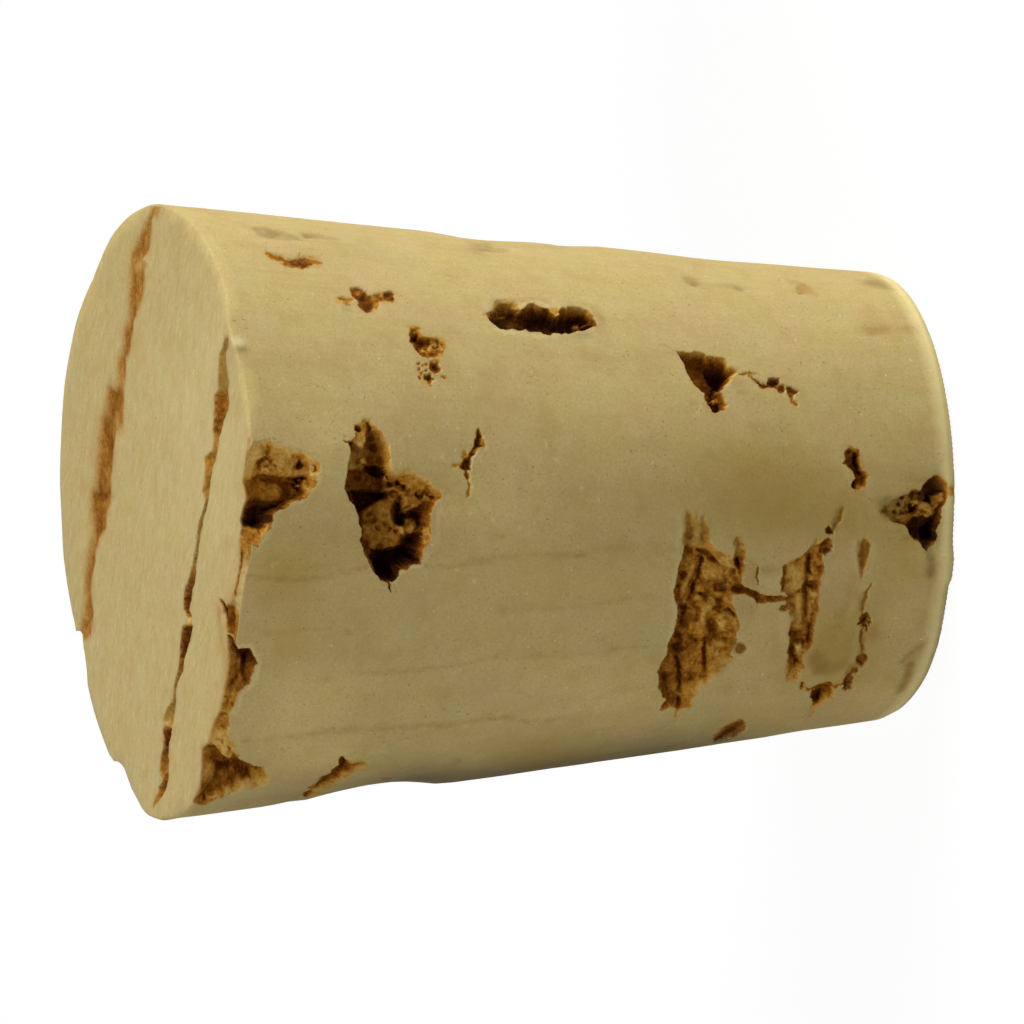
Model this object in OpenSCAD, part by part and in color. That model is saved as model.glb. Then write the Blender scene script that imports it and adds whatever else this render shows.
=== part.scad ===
/* [Body] */
// diameter of the wide end in mm
big_d = 25.4; // [20:0.1:32]
// diameter of the narrow end in mm
small_d = 18.8; // [14:0.1:26]
// height from the narrow end to the wide end in mm
height = 31.75; // [20:0.25:45]
// rounding of the narrow end's edge in mm
foot_round = 0.35; // [0.1:0.05:1]
// rounding of the wide end's edge in mm
rim_round = 0.15; // [0.05:0.05:1]

/* [Growth lines on the wide end] */
// width of the two open growth lines across the face in mm
line_w = 0.55; // [0.3:0.05:1.2]
// depth of the outer growth line in mm
line_far_depth = 0.35; // [0.1:0.05:1.5]
// depth of the inner growth line in mm
line_near_depth = 0.7; // [0.1:0.05:1.5]

/* [Pores] */
// depth of the large open pore on the side in mm
pore_depth = 2.6; // [0.5:0.1:4]
// depth of the pores that break the wide rim in mm
rim_pore_depth = 1.7; // [0.5:0.1:3]
// depth of the fissures near the narrow end in mm
fissure_depth = 0.8; // [0.2:0.1:2]
// how far the broken part of the far rim stands back in mm
chip_depth = 0.6; // [0.1:0.1:1.5]

/* [Hidden] */
$fn = 96;
taper = (big_d - small_d) / 2 / height;
// radius of the side at height z
function side_r(z) = small_d / 2 + taper * z;
// points each side of a bent line, for a channel of width w
function unit(v) = v / norm(v);
function along(p, i) = unit(p[min(i + 1, len(p) - 1)] - p[max(i - 1, 0)]);
function edge(p, i, w) = p[i] + w / 2 * [-along(p, i)[1], along(p, i)[0]];
function channel(p, w) = concat(
  [for (i = [0:len(p) - 1]) edge(p, i, w)],
  [for (i = [len(p) - 1:-1:0]) edge(p, i, -w)]);

// the growth line nearer the far rim, where it leaves through the broken rim
line_far = [[13.2, -1.2], [11.2, 0.5], [8.5, 2.3], [5.5, 4.3], [3, 6.1],
  [-0.5, 7.8], [-3, 9], [-5.5, 10.2]];
// the growth line nearer the front
line_near = [[7.4, -10.8], [4.8, -9.2], [2, -7.5], [-1, -5.5], [-4, -3.9],
  [-7, -2.4], [-9.5, -0.9], [-12, 0.8]];

// a pore: an outline on the side at angle a and height z, sunk by depth
// outline points are [across, up] in mm from that place
module pore(a, z, depth, outline) {
  rotate([0, 0, a])
    translate([side_r(z) - depth, 0, z])
      rotate([90, 0, 90])
        linear_extrude(height = depth + 3)
          polygon(outline);
}

// the plain tapered plug, narrow end down
module plug() {
  rotate_extrude()
    polygon([
      [0, 0],
      [small_d / 2 - foot_round, 0],
      [small_d / 2 - foot_round * 0.29, foot_round * 0.29],
      [small_d / 2 + taper * foot_round, foot_round],
      [big_d / 2 - taper * rim_round, height - rim_round],
      [big_d / 2 - rim_round, height],
      [0, height]
    ]);
}

// two growth lines that stand open across the wide end
module growth_lines() {
  translate([0, 0, height - line_far_depth])
    linear_extrude(height = 2) polygon(channel(line_far, line_w));
  translate([0, 0, height - line_near_depth])
    linear_extrude(height = 2) polygon(channel(line_near, line_w * 0.7));
}

// pores that open through the rim of the wide end
module rim_pores() {
  // wide pore at the front of the rim
  pore(-86, 30.6, rim_pore_depth, [[1.7, 1.6], [1.9, 0.2], [0.8, -1.8],
    [-0.3, -1.6], [-0.8, -0.1], [-1.6, 0.3], [-2.6, 1.8]]);
  // narrow pore that runs up the side into the face
  pore(-117, 31.9, rim_pore_depth * 0.6, [[2.2, 1], [1.9, 0.2], [0.3, -0.3],
    [-0.4, -0.7], [-1.6, -0.3], [-2.6, 0.4], [-2.4, 1]]);
  // pore at the underside of the rim
  pore(-147, 30.8, rim_pore_depth, [[2.6, 1.4], [1.6, 0.4], [0.9, -0.2],
    [-0.9, -2], [-1.7, -1.2], [-2.4, 0.2], [-2.6, 1.4]]);
}

// pores on the side, from the wide end to the narrow end
module side_pores() {
  // largest pore, with two prongs at its top
  pore(-89, 25.5, pore_depth, [[3.2, 1.5], [3.2, 0.8], [2.3, 0.2], [0.9, 0],
    [0.8, -0.7], [0.5, -2.1], [-0.3, -1.8], [-1.4, -1.7], [-2.7, -1.2],
    [-3.1, -0.3], [-3.4, 0.2], [-3, 0.9], [-1.7, 1.4], [0.4, 2], [1.8, 1.9],
    [1.9, 1.3], [2.9, 1.2]]);
  // long pore near the top of the side
  pore(-48, 17.7, pore_depth * 0.65, [[0.7, 2.1], [1, 1.2], [0.8, 0.3],
    [0.4, -0.6], [0.9, -0.8], [0.8, -1.8], [0.2, -2.4], [-0.3, -2],
    [-0.9, -1.2], [-0.9, 0.4], [-0.6, 1.9], [-0.1, 2.6]]);
  // three-cornered pore
  pore(-62, 11.2, pore_depth * 0.55, [[1.5, 1.4], [1.3, 0.2], [0.6, -1],
    [-0.2, -0.7], [-0.7, -0.2], [-1.6, -0.3], [-1.8, 0.1], [-0.7, 0.4],
    [0, 0.9]]);
  // small pores between the large one and the rim
  pore(-57.5, 23.5, 0.9, [[0.9, 0.9], [0.7, -0.3], [-0.2, -0.6], [-0.7, -0.1],
    [-0.3, 0.5]]);
  pore(-35.5, 27.8, 0.4, [[0.5, 1.2], [0.3, -0.9], [-0.4, -1.1], [-0.4, 0.2]]);
  pore(-46, 25.6, 0.6, [[0.5, 0.7], [0.4, -0.2], [-0.5, -0.5], [-0.3, 0.2]]);
  // narrow pore near the foot
  pore(-82.5, 4.6, 0.9, [[1, 0.3], [1, -0.3], [0.1, -0.3], [-0.1, -0.6],
    [-0.6, -0.4], [-0.8, 0], [-0.3, 0.1], [0.3, 0.4]]);
  // pore at the edge of the foot
  pore(-94, 1.7, 1.9, [[1.7, -0.9], [1.1, -0.2], [0.6, 1.4], [-0.4, 2],
    [-0.9, 0.8], [-1.5, -0.3], [-0.9, -1.1], [0.3, -1.4]]);
  // slot beside the foot
  pore(-106, 4.3, 0.7, [[0.9, 0.3], [0.9, -0.2], [-0.9, -0.1], [-0.9, 0.1]]);
  // pore low on the dark side
  pore(-158, 25.6, 0.9, [[1.2, 0.7], [1.3, -0.4], [0.2, -1.2], [-0.4, 0],
    [-1.6, 1.3], [-0.4, 1.5]]);
}

// the fissured patch near the narrow end
module fissures() {
  // long leg nearer the middle of the side
  pore(-99, 13.2, fissure_depth, [[1.5, 0.6], [1.4, -0.3], [-0.2, -0.8],
    [-2.2, -1.4], [-2.2, 0.6], [0, 0.7]]);
  pore(-119, 12.4, fissure_depth, [[2.3, 1.4], [2.1, -0.9], [-1, -0.9],
    [-2.6, 0], [-2.6, 1.6], [-1.2, 1.5]]);
  pore(-139, 12.5, fissure_depth, [[1.4, 1.4], [1.2, 0.1], [-0.9, 0.9],
    [-0.9, 1.4]]);
  // the crack that joins the two legs
  pore(-109, 8.6, fissure_depth * 1.2, [[0.7, 3], [0.4, 1.5], [0, 0],
    [0, -1], [-0.4, -1], [-0.4, 1], [-0.2, 2.4]]);
  // leg nearer the foot
  pore(-103, 6.4, fissure_depth, [[1.8, -0.6], [0.9, -0.3], [-0.4, -0.4],
    [-1.8, -0.2], [-1.8, 0.4], [0, 0.5], [0.8, 0.4]]);
  pore(-122, 6.9, fissure_depth, [[1.2, -0.1], [-0.8, 0.1], [-2, 0.5],
    [-2, 0.9], [0, 0.7], [1.2, 0.3]]);
  pore(-142, 5.4, fissure_depth, [[0.3, -0.4], [-0.4, 0], [-0.4, 0.4],
    [0.3, 0.3]]);
}

// the part of the far rim that has broken away, with the angles of its facets
module broken_rim() {
  r = big_d / 2 - chip_depth;
  facets = [114, 124, 136, 145, 153];
  translate([0, 0, height - 1.8])
    linear_extrude(height = 3)
      polygon(concat(
        [for (a = facets) r * [cos(a), sin(a)]],
        [for (a = [153, 134, 114]) 1.4 * r * [cos(a), sin(a)]]));
}

module stopper() {
  color([0.74, 0.66, 0.46])
    difference() {
      plug();
      growth_lines();
      rim_pores();
      side_pores();
      fissures();
      broken_rim();
    }
}

stopper();
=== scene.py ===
import math

import bpy
import numpy as np
from mathutils import Matrix, Vector


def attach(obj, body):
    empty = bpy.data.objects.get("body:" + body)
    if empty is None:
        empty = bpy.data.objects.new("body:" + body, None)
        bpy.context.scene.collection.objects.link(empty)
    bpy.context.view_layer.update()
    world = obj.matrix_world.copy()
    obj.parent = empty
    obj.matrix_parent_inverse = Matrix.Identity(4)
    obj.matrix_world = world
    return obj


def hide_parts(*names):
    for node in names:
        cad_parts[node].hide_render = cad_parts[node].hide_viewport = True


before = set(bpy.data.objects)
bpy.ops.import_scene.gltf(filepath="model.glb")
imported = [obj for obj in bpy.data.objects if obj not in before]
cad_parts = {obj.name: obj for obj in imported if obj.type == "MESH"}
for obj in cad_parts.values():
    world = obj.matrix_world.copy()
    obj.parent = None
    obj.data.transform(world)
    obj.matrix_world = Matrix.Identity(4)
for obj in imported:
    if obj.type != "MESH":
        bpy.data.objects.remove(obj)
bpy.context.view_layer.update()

# ---------------------------------------------------------------- sizes (mm)
L = 31.75            # height
RS, RB = 9.4, 12.7   # radius at the foot and at the big end
SLOPE = (RB - RS) / L
FOOT = 0.42          # rounded edge of the foot
RIM = 0.12           # rounded edge of the big end
PI = math.pi

# ---------------------------------------------------------------- camera (mm, pixels of the 1024 frame)
TILT, ROLL, DIST, FOCAL = 0.3547, -1.5903, 407.5258, 9794.1059
AIM = np.array([-0.3306, 0.0, 16.1152])
BACK = np.array([0.0, -math.cos(TILT), math.sin(TILT)])
EYE = AIM + BACK * DIST
FWD = -BACK
_r0 = np.array([1.0, 0.0, 0.0])
_u0 = np.cross(_r0, FWD)
RIGHT = math.cos(ROLL) * _r0 + math.sin(ROLL) * _u0
UP = -math.sin(ROLL) * _r0 + math.cos(ROLL) * _u0


def project(q):
    d = np.asarray(q, float) - EYE
    z = d @ FWD
    return 512 + FOCAL * (d @ RIGHT) / z, 512 - FOCAL * (d @ UP) / z


def rays(px):
    px = np.asarray(px, float)
    d = FWD + ((px[:, 0] - 512) / FOCAL)[:, None] * RIGHT + ((512 - px[:, 1]) / FOCAL)[:, None] * UP
    return d / np.linalg.norm(d, axis=1, keepdims=True)


# ---------------------------------------------------------------- small maths
def smooth(a, b, x):
    t = np.clip((x - a) / (b - a), 0, 1)
    return t * t * (3 - 2 * t)


def mix(a, b, t):
    return a + (b - a) * t


def wrap(a):
    return (a + PI) % (2 * PI) - PI


def lookup(x, table, column=1):
    """Reads a table of rows (x, value...) at x, straight between rows."""
    t = np.asarray(table, float)
    return np.interp(x, t[:, 0], t[:, column])


def ring_lookup(th, table, column=1):
    """As lookup, with x in degrees round the circle."""
    t = np.asarray(sorted(table), float)
    return np.interp(np.degrees(th) % 360, *_round(t, column))


def _round(t, column):
    a = t[:, 0] % 360
    order = np.argsort(a)
    a, v = a[order], t[order, column]
    return np.r_[a[-1] - 360, a, a[0] + 360], np.r_[v[-1], v, v[0]]


def _hash(i, j, k, seed):
    n = (i.astype(np.uint32) * np.uint32(374761393) + j.astype(np.uint32) * np.uint32(668265263)
         + k.astype(np.uint32) * np.uint32(2246822519) + np.uint32(seed * 3266489917 & 0xFFFFFFFF))
    n = (n ^ (n >> np.uint32(13))) * np.uint32(1274126177)
    n = (n ^ (n >> np.uint32(15))) * np.uint32(2654435761)
    return (n ^ (n >> np.uint32(16))).astype(np.float32) / np.float32(4294967295)


def value_noise(x, y, z, seed=0):
    """Smooth noise in -1..1 that changes over a distance of about 1."""
    xi, yi, zi = np.floor(x), np.floor(y), np.floor(z)
    fx, fy, fz = (x - xi).astype(np.float32), (y - yi).astype(np.float32), (z - zi).astype(np.float32)
    xi, yi, zi = xi.astype(np.int64), yi.astype(np.int64), zi.astype(np.int64)
    fx, fy, fz = fx * fx * (3 - 2 * fx), fy * fy * (3 - 2 * fy), fz * fz * (3 - 2 * fz)
    out = 0
    for a in (0, 1):
        wx = fx if a else 1 - fx
        for b in (0, 1):
            wy = fy if b else 1 - fy
            for c in (0, 1):
                wz = fz if c else 1 - fz
                out = out + wx * wy * wz * _hash(xi + a, yi + b, zi + c, seed)
    return out * 2 - 1


def fbm(x, y, z, size, octaves=3, seed=0, gain=0.5):
    total, amp, norm = 0, 1.0, 0.0
    for o in range(octaves):
        s = 2 ** o / size
        total = total + amp * value_noise(x * s + 17.3 * o, y * s - 9.1 * o, z * s + 4.7 * o, seed + 11 * o)
        norm += amp
        amp *= gain
    return total / norm


def cells(x, y, z, size, seed=0):
    """Distance to the nearest of scattered points, in units of size: crumbs."""
    x, y, z = x / size, y / size, z / size
    xi, yi, zi = np.floor(x).astype(np.int64), np.floor(y).astype(np.int64), np.floor(z).astype(np.int64)
    best = np.full(np.shape(x), 9.0, np.float32)
    for a in (-1, 0, 1):
        for b in (-1, 0, 1):
            for c in (-1, 0, 1):
                i, j, k = xi + a, yi + b, zi + c
                d = ((i + _hash(i, j, k, seed) - x) ** 2 + (j + _hash(i, j, k, seed + 1) - y) ** 2
                     + (k + _hash(i, j, k, seed + 2) - z) ** 2)
                best = np.minimum(best, d)
    return np.sqrt(best)


def inside(poly, u, v):
    """Signed distance to a closed outline, positive inside."""
    d2 = np.full(np.shape(u), 1e9)
    odd = np.zeros(np.shape(u), bool)
    n = len(poly)
    for i in range(n):
        (x0, y0), (x1, y1) = poly[i], poly[(i + 1) % n]
        ex, ey = x1 - x0, y1 - y0
        t = np.clip(((u - x0) * ex + (v - y0) * ey) / (ex * ex + ey * ey + 1e-12), 0, 1)
        d2 = np.minimum(d2, (u - x0 - t * ex) ** 2 + (v - y0 - t * ey) ** 2)
        if y0 != y1:
            odd ^= ((y0 > v) != (y1 > v)) & (u < ex * (v - y0) / ey + x0)
    return np.where(odd, 1.0, -1.0) * np.sqrt(d2)


def near_line(line, u, v):
    """Distance to an open line, and how far along it (0..1) the nearest point is."""
    seg = np.linalg.norm(np.diff(line, axis=0), axis=1)
    start = np.r_[0, np.cumsum(seg)] / max(seg.sum(), 1e-9)
    best = np.full(np.shape(u), 1e9)
    along = np.zeros(np.shape(u))
    for i in range(len(line) - 1):
        (x0, y0), (x1, y1) = line[i], line[i + 1]
        ex, ey = x1 - x0, y1 - y0
        t = np.clip(((u - x0) * ex + (v - y0) * ey) / (ex * ex + ey * ey + 1e-12), 0, 1)
        d = np.hypot(u - x0 - t * ex, v - y0 - t * ey)
        near = d < best
        best = np.where(near, d, best)
        along = np.where(near, start[i] + t * (start[i + 1] - start[i]), along)
    return best, along


def pts(text):
    return np.array([[float(c) for c in p.split(",")] for p in text.split()])


# ---------------------------------------------------------------- the cork's overall form
# A hollow in the lower front of the big end: angle, depth at the edge. It runs out along the cork.
HOLLOW = [(-172, 0), (-166, .02), (-160, .10), (-153, .38), (-147, .72), (-140, 1.06), (-132, 1.36), (-125, 1.50),
          (-118, 1.55), (-111, 1.53), (-107, 1.42), (-104, 1.20), (-101, .90), (-98, .52), (-95, .22), (-91, .03), (-88, 0)]
TOP_LINE = [(0, .08), (1.3, .05), (3, 0), (5, 0), (6.7, -.04), (8.5, -.04), (10, 0), (12.4, 0), (13.2, -.08),
            (13.9, -.14), (14.8, -.10), (15.6, -.10), (16.5, -.16), (17.5, -.22), (18.4, -.23), (19.2, -.15),
            (20, -.09), (26, -.08), (L, -.08)]
LOW_LINE = [(0, 0), (3.5, 0), (5.3, .05), (7.1, .07), (8.9, .12), (17.8, .12), (19.6, .10), (20.1, .02), (20.5, -.10),
            (21.4, -.26), (22.2, -.29), (23.1, -.29), (24, -.20), (24.9, -.13), (25.8, -.02), (26.6, -.05),
            (27.5, .03), (L, .03)]
# The big end's edge round the circle: how much higher or lower than L.
EDGE_UP = [(-170, -.12), (-160, -.1), (-150, 0), (-100, .04), (-97, .10), (-80, .11), (-76, .07), (-70, -.03),
           (-66, .01), (-62, .07), (-57, .19), (-53, .14), (-48, -.1), (-41, -.18), (-33, -.22), (-25, -.19),
           (-18, -.06), (-8, -.1), (8, -.17), (15, -.08), (23, -.04), (28, -.07), (34, -.1), (39, -.09), (43, 0),
           (50, .12), (57, .13), (64, .16), (70, .12), (76, .09), (83, .08), (91, 0), (99, 0), (105, -.08),
           (110, -.15), (111.5, -.2), (113, -.2), (125, -.1), (160, -.1), (170, 0)]


# The small end is a little fuller in places: angle, how much.
FLARE = [(-180, 0), (-165, .05), (-150, .22), (-140, .34), (-130, .30), (-120, .10), (-114, .02), (-112.5, .10), (-111.5, .26),
         (-106, .26), (-103, .02), (-100, -.06), (-92, 0),
         (-80, .16), (-70, .28), (-60, .40), (-50, .50), (-40, .50), (-30, .46), (-20, .30), (-10, .10), (0, 0), (180, 0)]


def form(th, z):
    """Radius of the sound skin before anything is broken out of it."""
    r = RS + SLOPE * z
    r = r + lookup(np.degrees(wrap(th)), FLARE) * np.clip(1 - z / 8.0, 0, 1) ** 2
    deg = np.degrees(wrap(th))
    d = (lookup(deg, HOLLOW) - 0.104 * (L - z)) / 0.10
    r = r - np.where(deg < -80, 0.10 * np.log1p(np.exp(np.clip(d, -30, 40))), 0.0)
    t = np.degrees(wrap(th - math.radians(-2)))
    r = r + lookup(z, TOP_LINE) * np.exp(-(t / 26) ** 2)
    b = np.degrees(wrap(th - math.radians(-179)))
    low = lookup(z, LOW_LINE)
    r = r + np.where(low < 0, low * np.exp(-((b - 3) / 15) ** 2), low * np.exp(-(b / 28) ** 2))
    return r


def on_side(px, sink=0.0):
    """Pixels of the reference view to angle and height on the sound skin, or on a surface a little under it."""
    px = np.atleast_2d(np.asarray(px, float))
    d = rays(px)
    off = np.zeros(len(px)) - sink
    for _ in range(7):
        rad = RS + off
        A = d[:, 0] ** 2 + d[:, 1] ** 2 - (SLOPE * d[:, 2]) ** 2
        B = 2 * (EYE[0] * d[:, 0] + EYE[1] * d[:, 1] - (rad + SLOPE * EYE[2]) * SLOPE * d[:, 2])
        C = EYE[0] ** 2 + EYE[1] ** 2 - (rad + SLOPE * EYE[2]) ** 2
        s = (-B - np.sqrt(np.maximum(B * B - 4 * A * C, 0))) / (2 * A)
        q = EYE + d * s[:, None]
        th, z = np.arctan2(q[:, 1], q[:, 0]), q[:, 2]
        off = 0.4 * off + 0.6 * (form(th, np.clip(z, 0, L)) - (RS + SLOPE * np.clip(z, 0, L)) - sink)
    return th, z


def on_face(px, z=L):
    px = np.atleast_2d(np.asarray(px, float))
    d = rays(px)
    s = (z - EYE[2]) / d[:, 2]
    q = EYE + d * s[:, None]
    return q[:, 0], q[:, 1]


# ---------------------------------------------------------------- the lattice
NU = 2048
N_CAP_B, N_FOOT, N_SIDE, N_RIM, N_CAP_T = 224, 16, 800, 16, 320
NV = N_CAP_B + N_FOOT + N_SIDE + N_RIM + N_CAP_T
R_CAP_B, R_FOOT, R_SIDE, R_RIM = N_CAP_B, N_CAP_B + N_FOOT, N_CAP_B + N_FOOT + N_SIDE, N_CAP_B + N_FOOT + N_SIDE + N_RIM
TH = -PI + 2 * PI * np.arange(NU) / NU
ZS = FOOT + (L - RIM - FOOT) * np.arange(N_SIDE + 1) / N_SIDE

side_shape = (N_SIDE + 1, NU)
TH2 = np.broadcast_to(TH, side_shape)
Z2 = np.broadcast_to(ZS[:, None], side_shape)
FORM = form(TH2, Z2)
BX, BY = FORM * np.cos(TH2), FORM * np.sin(TH2)

sunk = np.zeros(side_shape)                # how far the surface lies under the sound skin
MASKS = ("pit", "tone", "pale", "warm", "grey", "line", "lift", "ochre")
side_mask = {m: np.zeros(side_shape, np.float32) for m in MASKS}
side_mask["tone"][:] = 0.6


class Patch:
    """A window of the side's lattice round some angles and heights, with flat coordinates in mm."""

    def __init__(self, th, z, margin=0.6):
        self.z0 = float(np.mean(z))
        self.t0 = float(np.mean(th))
        self.rm = RS + SLOPE * self.z0
        m = margin / self.rm
        lo = int(math.floor((min(th) - m + PI) / (2 * PI) * NU))
        hi = int(math.ceil((max(th) + m + PI) / (2 * PI) * NU))
        self.cols = np.arange(lo, hi + 1) % NU
        a = int(np.clip(math.floor((min(z) - margin - FOOT) / (ZS[1] - ZS[0])), 0, N_SIDE))
        b = int(np.clip(math.ceil((max(z) + margin - FOOT) / (ZS[1] - ZS[0])), 0, N_SIDE))
        self.rows = np.arange(a, b + 1)
        self.at = np.ix_(self.rows, self.cols)
        angle = self.t0 + wrap(TH[self.cols] - self.t0)
        self.u, self.v = np.meshgrid((angle - self.t0) * self.rm, ZS[self.rows] - self.z0)
        self.x, self.y, self.z = BX[self.at], BY[self.at], Z2[self.at]

    def flat(self, th, z):
        return np.stack([wrap(np.asarray(th) - self.t0) * self.rm, np.asarray(z) - self.z0], 1)

    def warped(self, ragged, seed):
        if not ragged:
            return self.u, self.v
        a = fbm(self.x, self.y, self.z, 0.42, 4, seed, 0.72)
        b = fbm(self.x, self.y, self.z, 0.42, 4, seed + 50, 0.72)
        return self.u + 1.5 * ragged * a, self.v + 1.5 * ragged * b


def as_th_z(outline, sink=0.0):
    """An outline is pixels of the reference view, or ('deg', [(degrees, z), ...])."""
    if isinstance(outline, str):
        return on_side(pts(outline), sink)
    rows = np.asarray(outline[1], float)
    return np.radians(rows[:, 0]), rows[:, 1]


# Face edge round the broken part of the big end: angle, radius of the pale face's edge.
FACE_EDGE = [(-166, 12.62), (-160, 12.62), (-157, 12.45), (-155.3, 12.06), (-152.7, 11.5), (-150.5, 11.1), (-147, 11.33),
             (-145.4, 11.31), (-141.3, 11.14), (-139.6, 11.15), (-136.9, 11.30), (-132.8, 11.25), (-127.4, 11.2),
             (-124, 10.95), (-120.1, 10.48), (-119, 10.28), (-116.6, 9.95), (-113.5, 9.75), (-110.6, 10.33),
             (-105.3, 10.73), (-100.7, 10.93), (-96.5, 10.95), (-93.8, 11.3), (-92.3, 11.1), (-89.8, 11.52),
             (-88.3, 11.95), (-86.7, 11.82), (-84.7, 11.63), (-82.5, 11.96), (-79, 12.3), (-77, 12.45)]
FAR_EDGE = [(113.2, 0), (114.4, -.62), (115.6, -.75), (118, -.72), (123, -.75), (126, -.42), (131, -.32), (136, -.33),
            (144, -.28), (147.5, -.38), (150, -.72), (155, -.80), (158, -.5), (162, -.38), (167, -.15), (172, 0)]


def face_edge(th):
    r = form(th, np.full(np.shape(th), L)) - RIM
    deg = np.degrees(th)
    table = np.array(FACE_EDGE)
    broken = (deg > -166) & (deg < -77)
    e = np.interp(deg, table[:, 0], table[:, 1])
    return np.where(broken, np.minimum(e, r), r)


rim_gap = form(TH, np.full(NU, L)) - face_edge(TH)        # how deep the breaks are where they meet the face
_order = np.argsort(np.degrees(TH) % 360)
GAP_AT, GAP = (np.degrees(TH) % 360)[_order], rim_gap[_order]


def pit(outline, depth, wall=0.16, ragged=0.07, tone=0.4, grain=0.10, subs=(), strokes=(), rim=False, rim_span=0.9,
        soft=None, seed=1, pale=0.0, pale_w=0.12, warm=0.0, warm_w=0.3, floor=0.25, edge=0.05, grow=0.0, lip=0.66):
    """Breaks a hole out of the side.

    subs are (outline, depth factor, tone, softness in mm); strokes are (line, width, depth factor, tone).
    soft is (dx, dy, wall): the wall on the side that (dx, dy) in the picture points to slopes over that width."""
    th, z = as_th_z(outline)
    p = Patch(th, z, 0.7 + max(warm_w, pale_w, 0.3))
    poly = p.flat(th, z)
    u, v = p.warped(ragged, seed)
    d = inside(poly, u, v) + grow
    w = np.full(d.shape, float(wall))
    if soft:
        # picture right is -z, picture down is -x: on the visible side that is a falling angle
        du, dv = -soft[1], -soft[0]
        n = math.hypot(du, dv)
        span = 0.5 * max(np.ptp(poly[:, 0]), np.ptp(poly[:, 1]))
        side = ((u - poly[:, 0].mean()) * du + (v - poly[:, 1].mean()) * dv) / (n * span)
        w = mix(w, soft[2], smooth(0.0, 0.75, side))
    w = w * (1 + 0.35 * fbm(p.x, p.y, p.z, 0.6, 2, seed + 7))
    t = np.clip(d / np.maximum(w, 0.03), 0, 1)
    prof = 1 - (1 - t) ** 1.8
    f = np.ones(d.shape)
    tn = np.full(d.shape, float(tone))
    for sub in subs:
        sth, sz = as_th_z(sub[0], 0.9 * depth * sub[1])
        sd = inside(p.flat(sth, sz), *p.warped(0.10 if len(sub) < 5 else sub[4], seed + 3))
        soft_by = max(sub[3], 0.05)
        m = smooth(-soft_by, soft_by, sd)
        f, tn = mix(f, sub[1], m), mix(tn, sub[2], m)
    for line, width, factor, stone in strokes:
        sth, sz = as_th_z(line, 0.8 * depth)
        sd, _ = near_line(p.flat(sth, sz), *p.warped(0.07, seed + 5))
        m = smooth(width * 0.75, width * 0.15, sd)
        f, tn = mix(f, factor, m), mix(tn, stone, m)
    into = 1 - prof * depth * f / (RS + SLOPE * p.z)
    wx, wy = p.x * into, p.y * into
    rough = fbm(wx, wy, p.z, floor, 3, seed + 20, 0.6)
    crumbs = 0.5 - 0.6 * cells(wx, wy, p.z, 0.20, seed + 30) - 0.4 * cells(wx, wy, p.z, 0.38, seed + 40)
    deep = depth * f * (1 + 0.16 * rough)
    if rim:
        gap = np.interp(np.degrees(TH[p.cols]) % 360, GAP_AT, GAP)
        back = smooth(0.0, rim_span, L - p.z)
        deep = mix(np.broadcast_to(gap, d.shape) + 0.02, deep, back)
    hole = prof * deep + grain * smooth(0, 1, t) * (0.7 * rough + 1.1 * crumbs)
    hole = np.where(d > 0, np.maximum(hole, 0), 0)
    m = smooth(-0.5 * edge, edge, d)
    old = sunk[p.at]
    sunk[p.at] = np.maximum(old, hole)
    # the wall is light where it leaves the skin and darkens on its way down
    tn = mix(np.maximum(tn, lip), tn, smooth(0.05, 0.85, t))
    tn = np.clip(tn + 0.13 * rough + 0.30 * crumbs, 0, 1)
    own = m * np.where(hole >= old * 0.98 - 1e-6, 1.0, 0.0)
    side_mask["tone"][p.at] = mix(side_mask["tone"][p.at], tn, own)
    side_mask["pit"][p.at] = np.maximum(side_mask["pit"][p.at], m)
    if pale:
        ring = smooth(-pale_w, -0.2 * pale_w, d) * (1 - m)
        side_mask["pale"][p.at] = np.maximum(side_mask["pale"][p.at], pale * ring * (0.75 + 0.5 * rough))
    if warm:
        ring = smooth(-warm_w, 0.0, d) * (1 - m)
        side_mask["warm"][p.at] = np.maximum(side_mask["warm"][p.at], warm * ring * ring * (0.8 + 0.6 * rough))
    return p, d


def crack(line, width, depth, tone=0.3, ragged=0.05, seed=1, taper=True, pit_mask=1.0, warm=0.0):
    """A narrow split along a line."""
    th, z = as_th_z(line)
    p = Patch(th, z, 0.5 + width)
    d, along = near_line(p.flat(th, z), *p.warped(ragged, seed))
    w = width * 0.5 * (1 + 0.45 * fbm(p.x, p.y, p.z, 0.35, 2, seed + 2))
    if taper:
        w = w * (0.35 + 0.65 * np.sin(PI * np.clip(along, 0.04, 0.96)) ** 0.6)
    t = np.clip((w - d) / (0.6 * w + 0.02), 0, 1)
    hole = depth * t * (1 + 0.2 * fbm(p.x, p.y, p.z, 0.25, 2, seed + 4))
    base = sunk[p.at]
    hit = smooth(0, 0.35, t)
    sunk[p.at] = base + hole
    side_mask["tone"][p.at] = mix(side_mask["tone"][p.at], tone, hit)
    side_mask["pit"][p.at] = np.maximum(side_mask["pit"][p.at], hit * pit_mask)
    if warm:
        ring = np.exp(-(d / (width + 0.12)) ** 2)
        side_mask["warm"][p.at] = np.maximum(side_mask["warm"][p.at], warm * ring)


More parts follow.
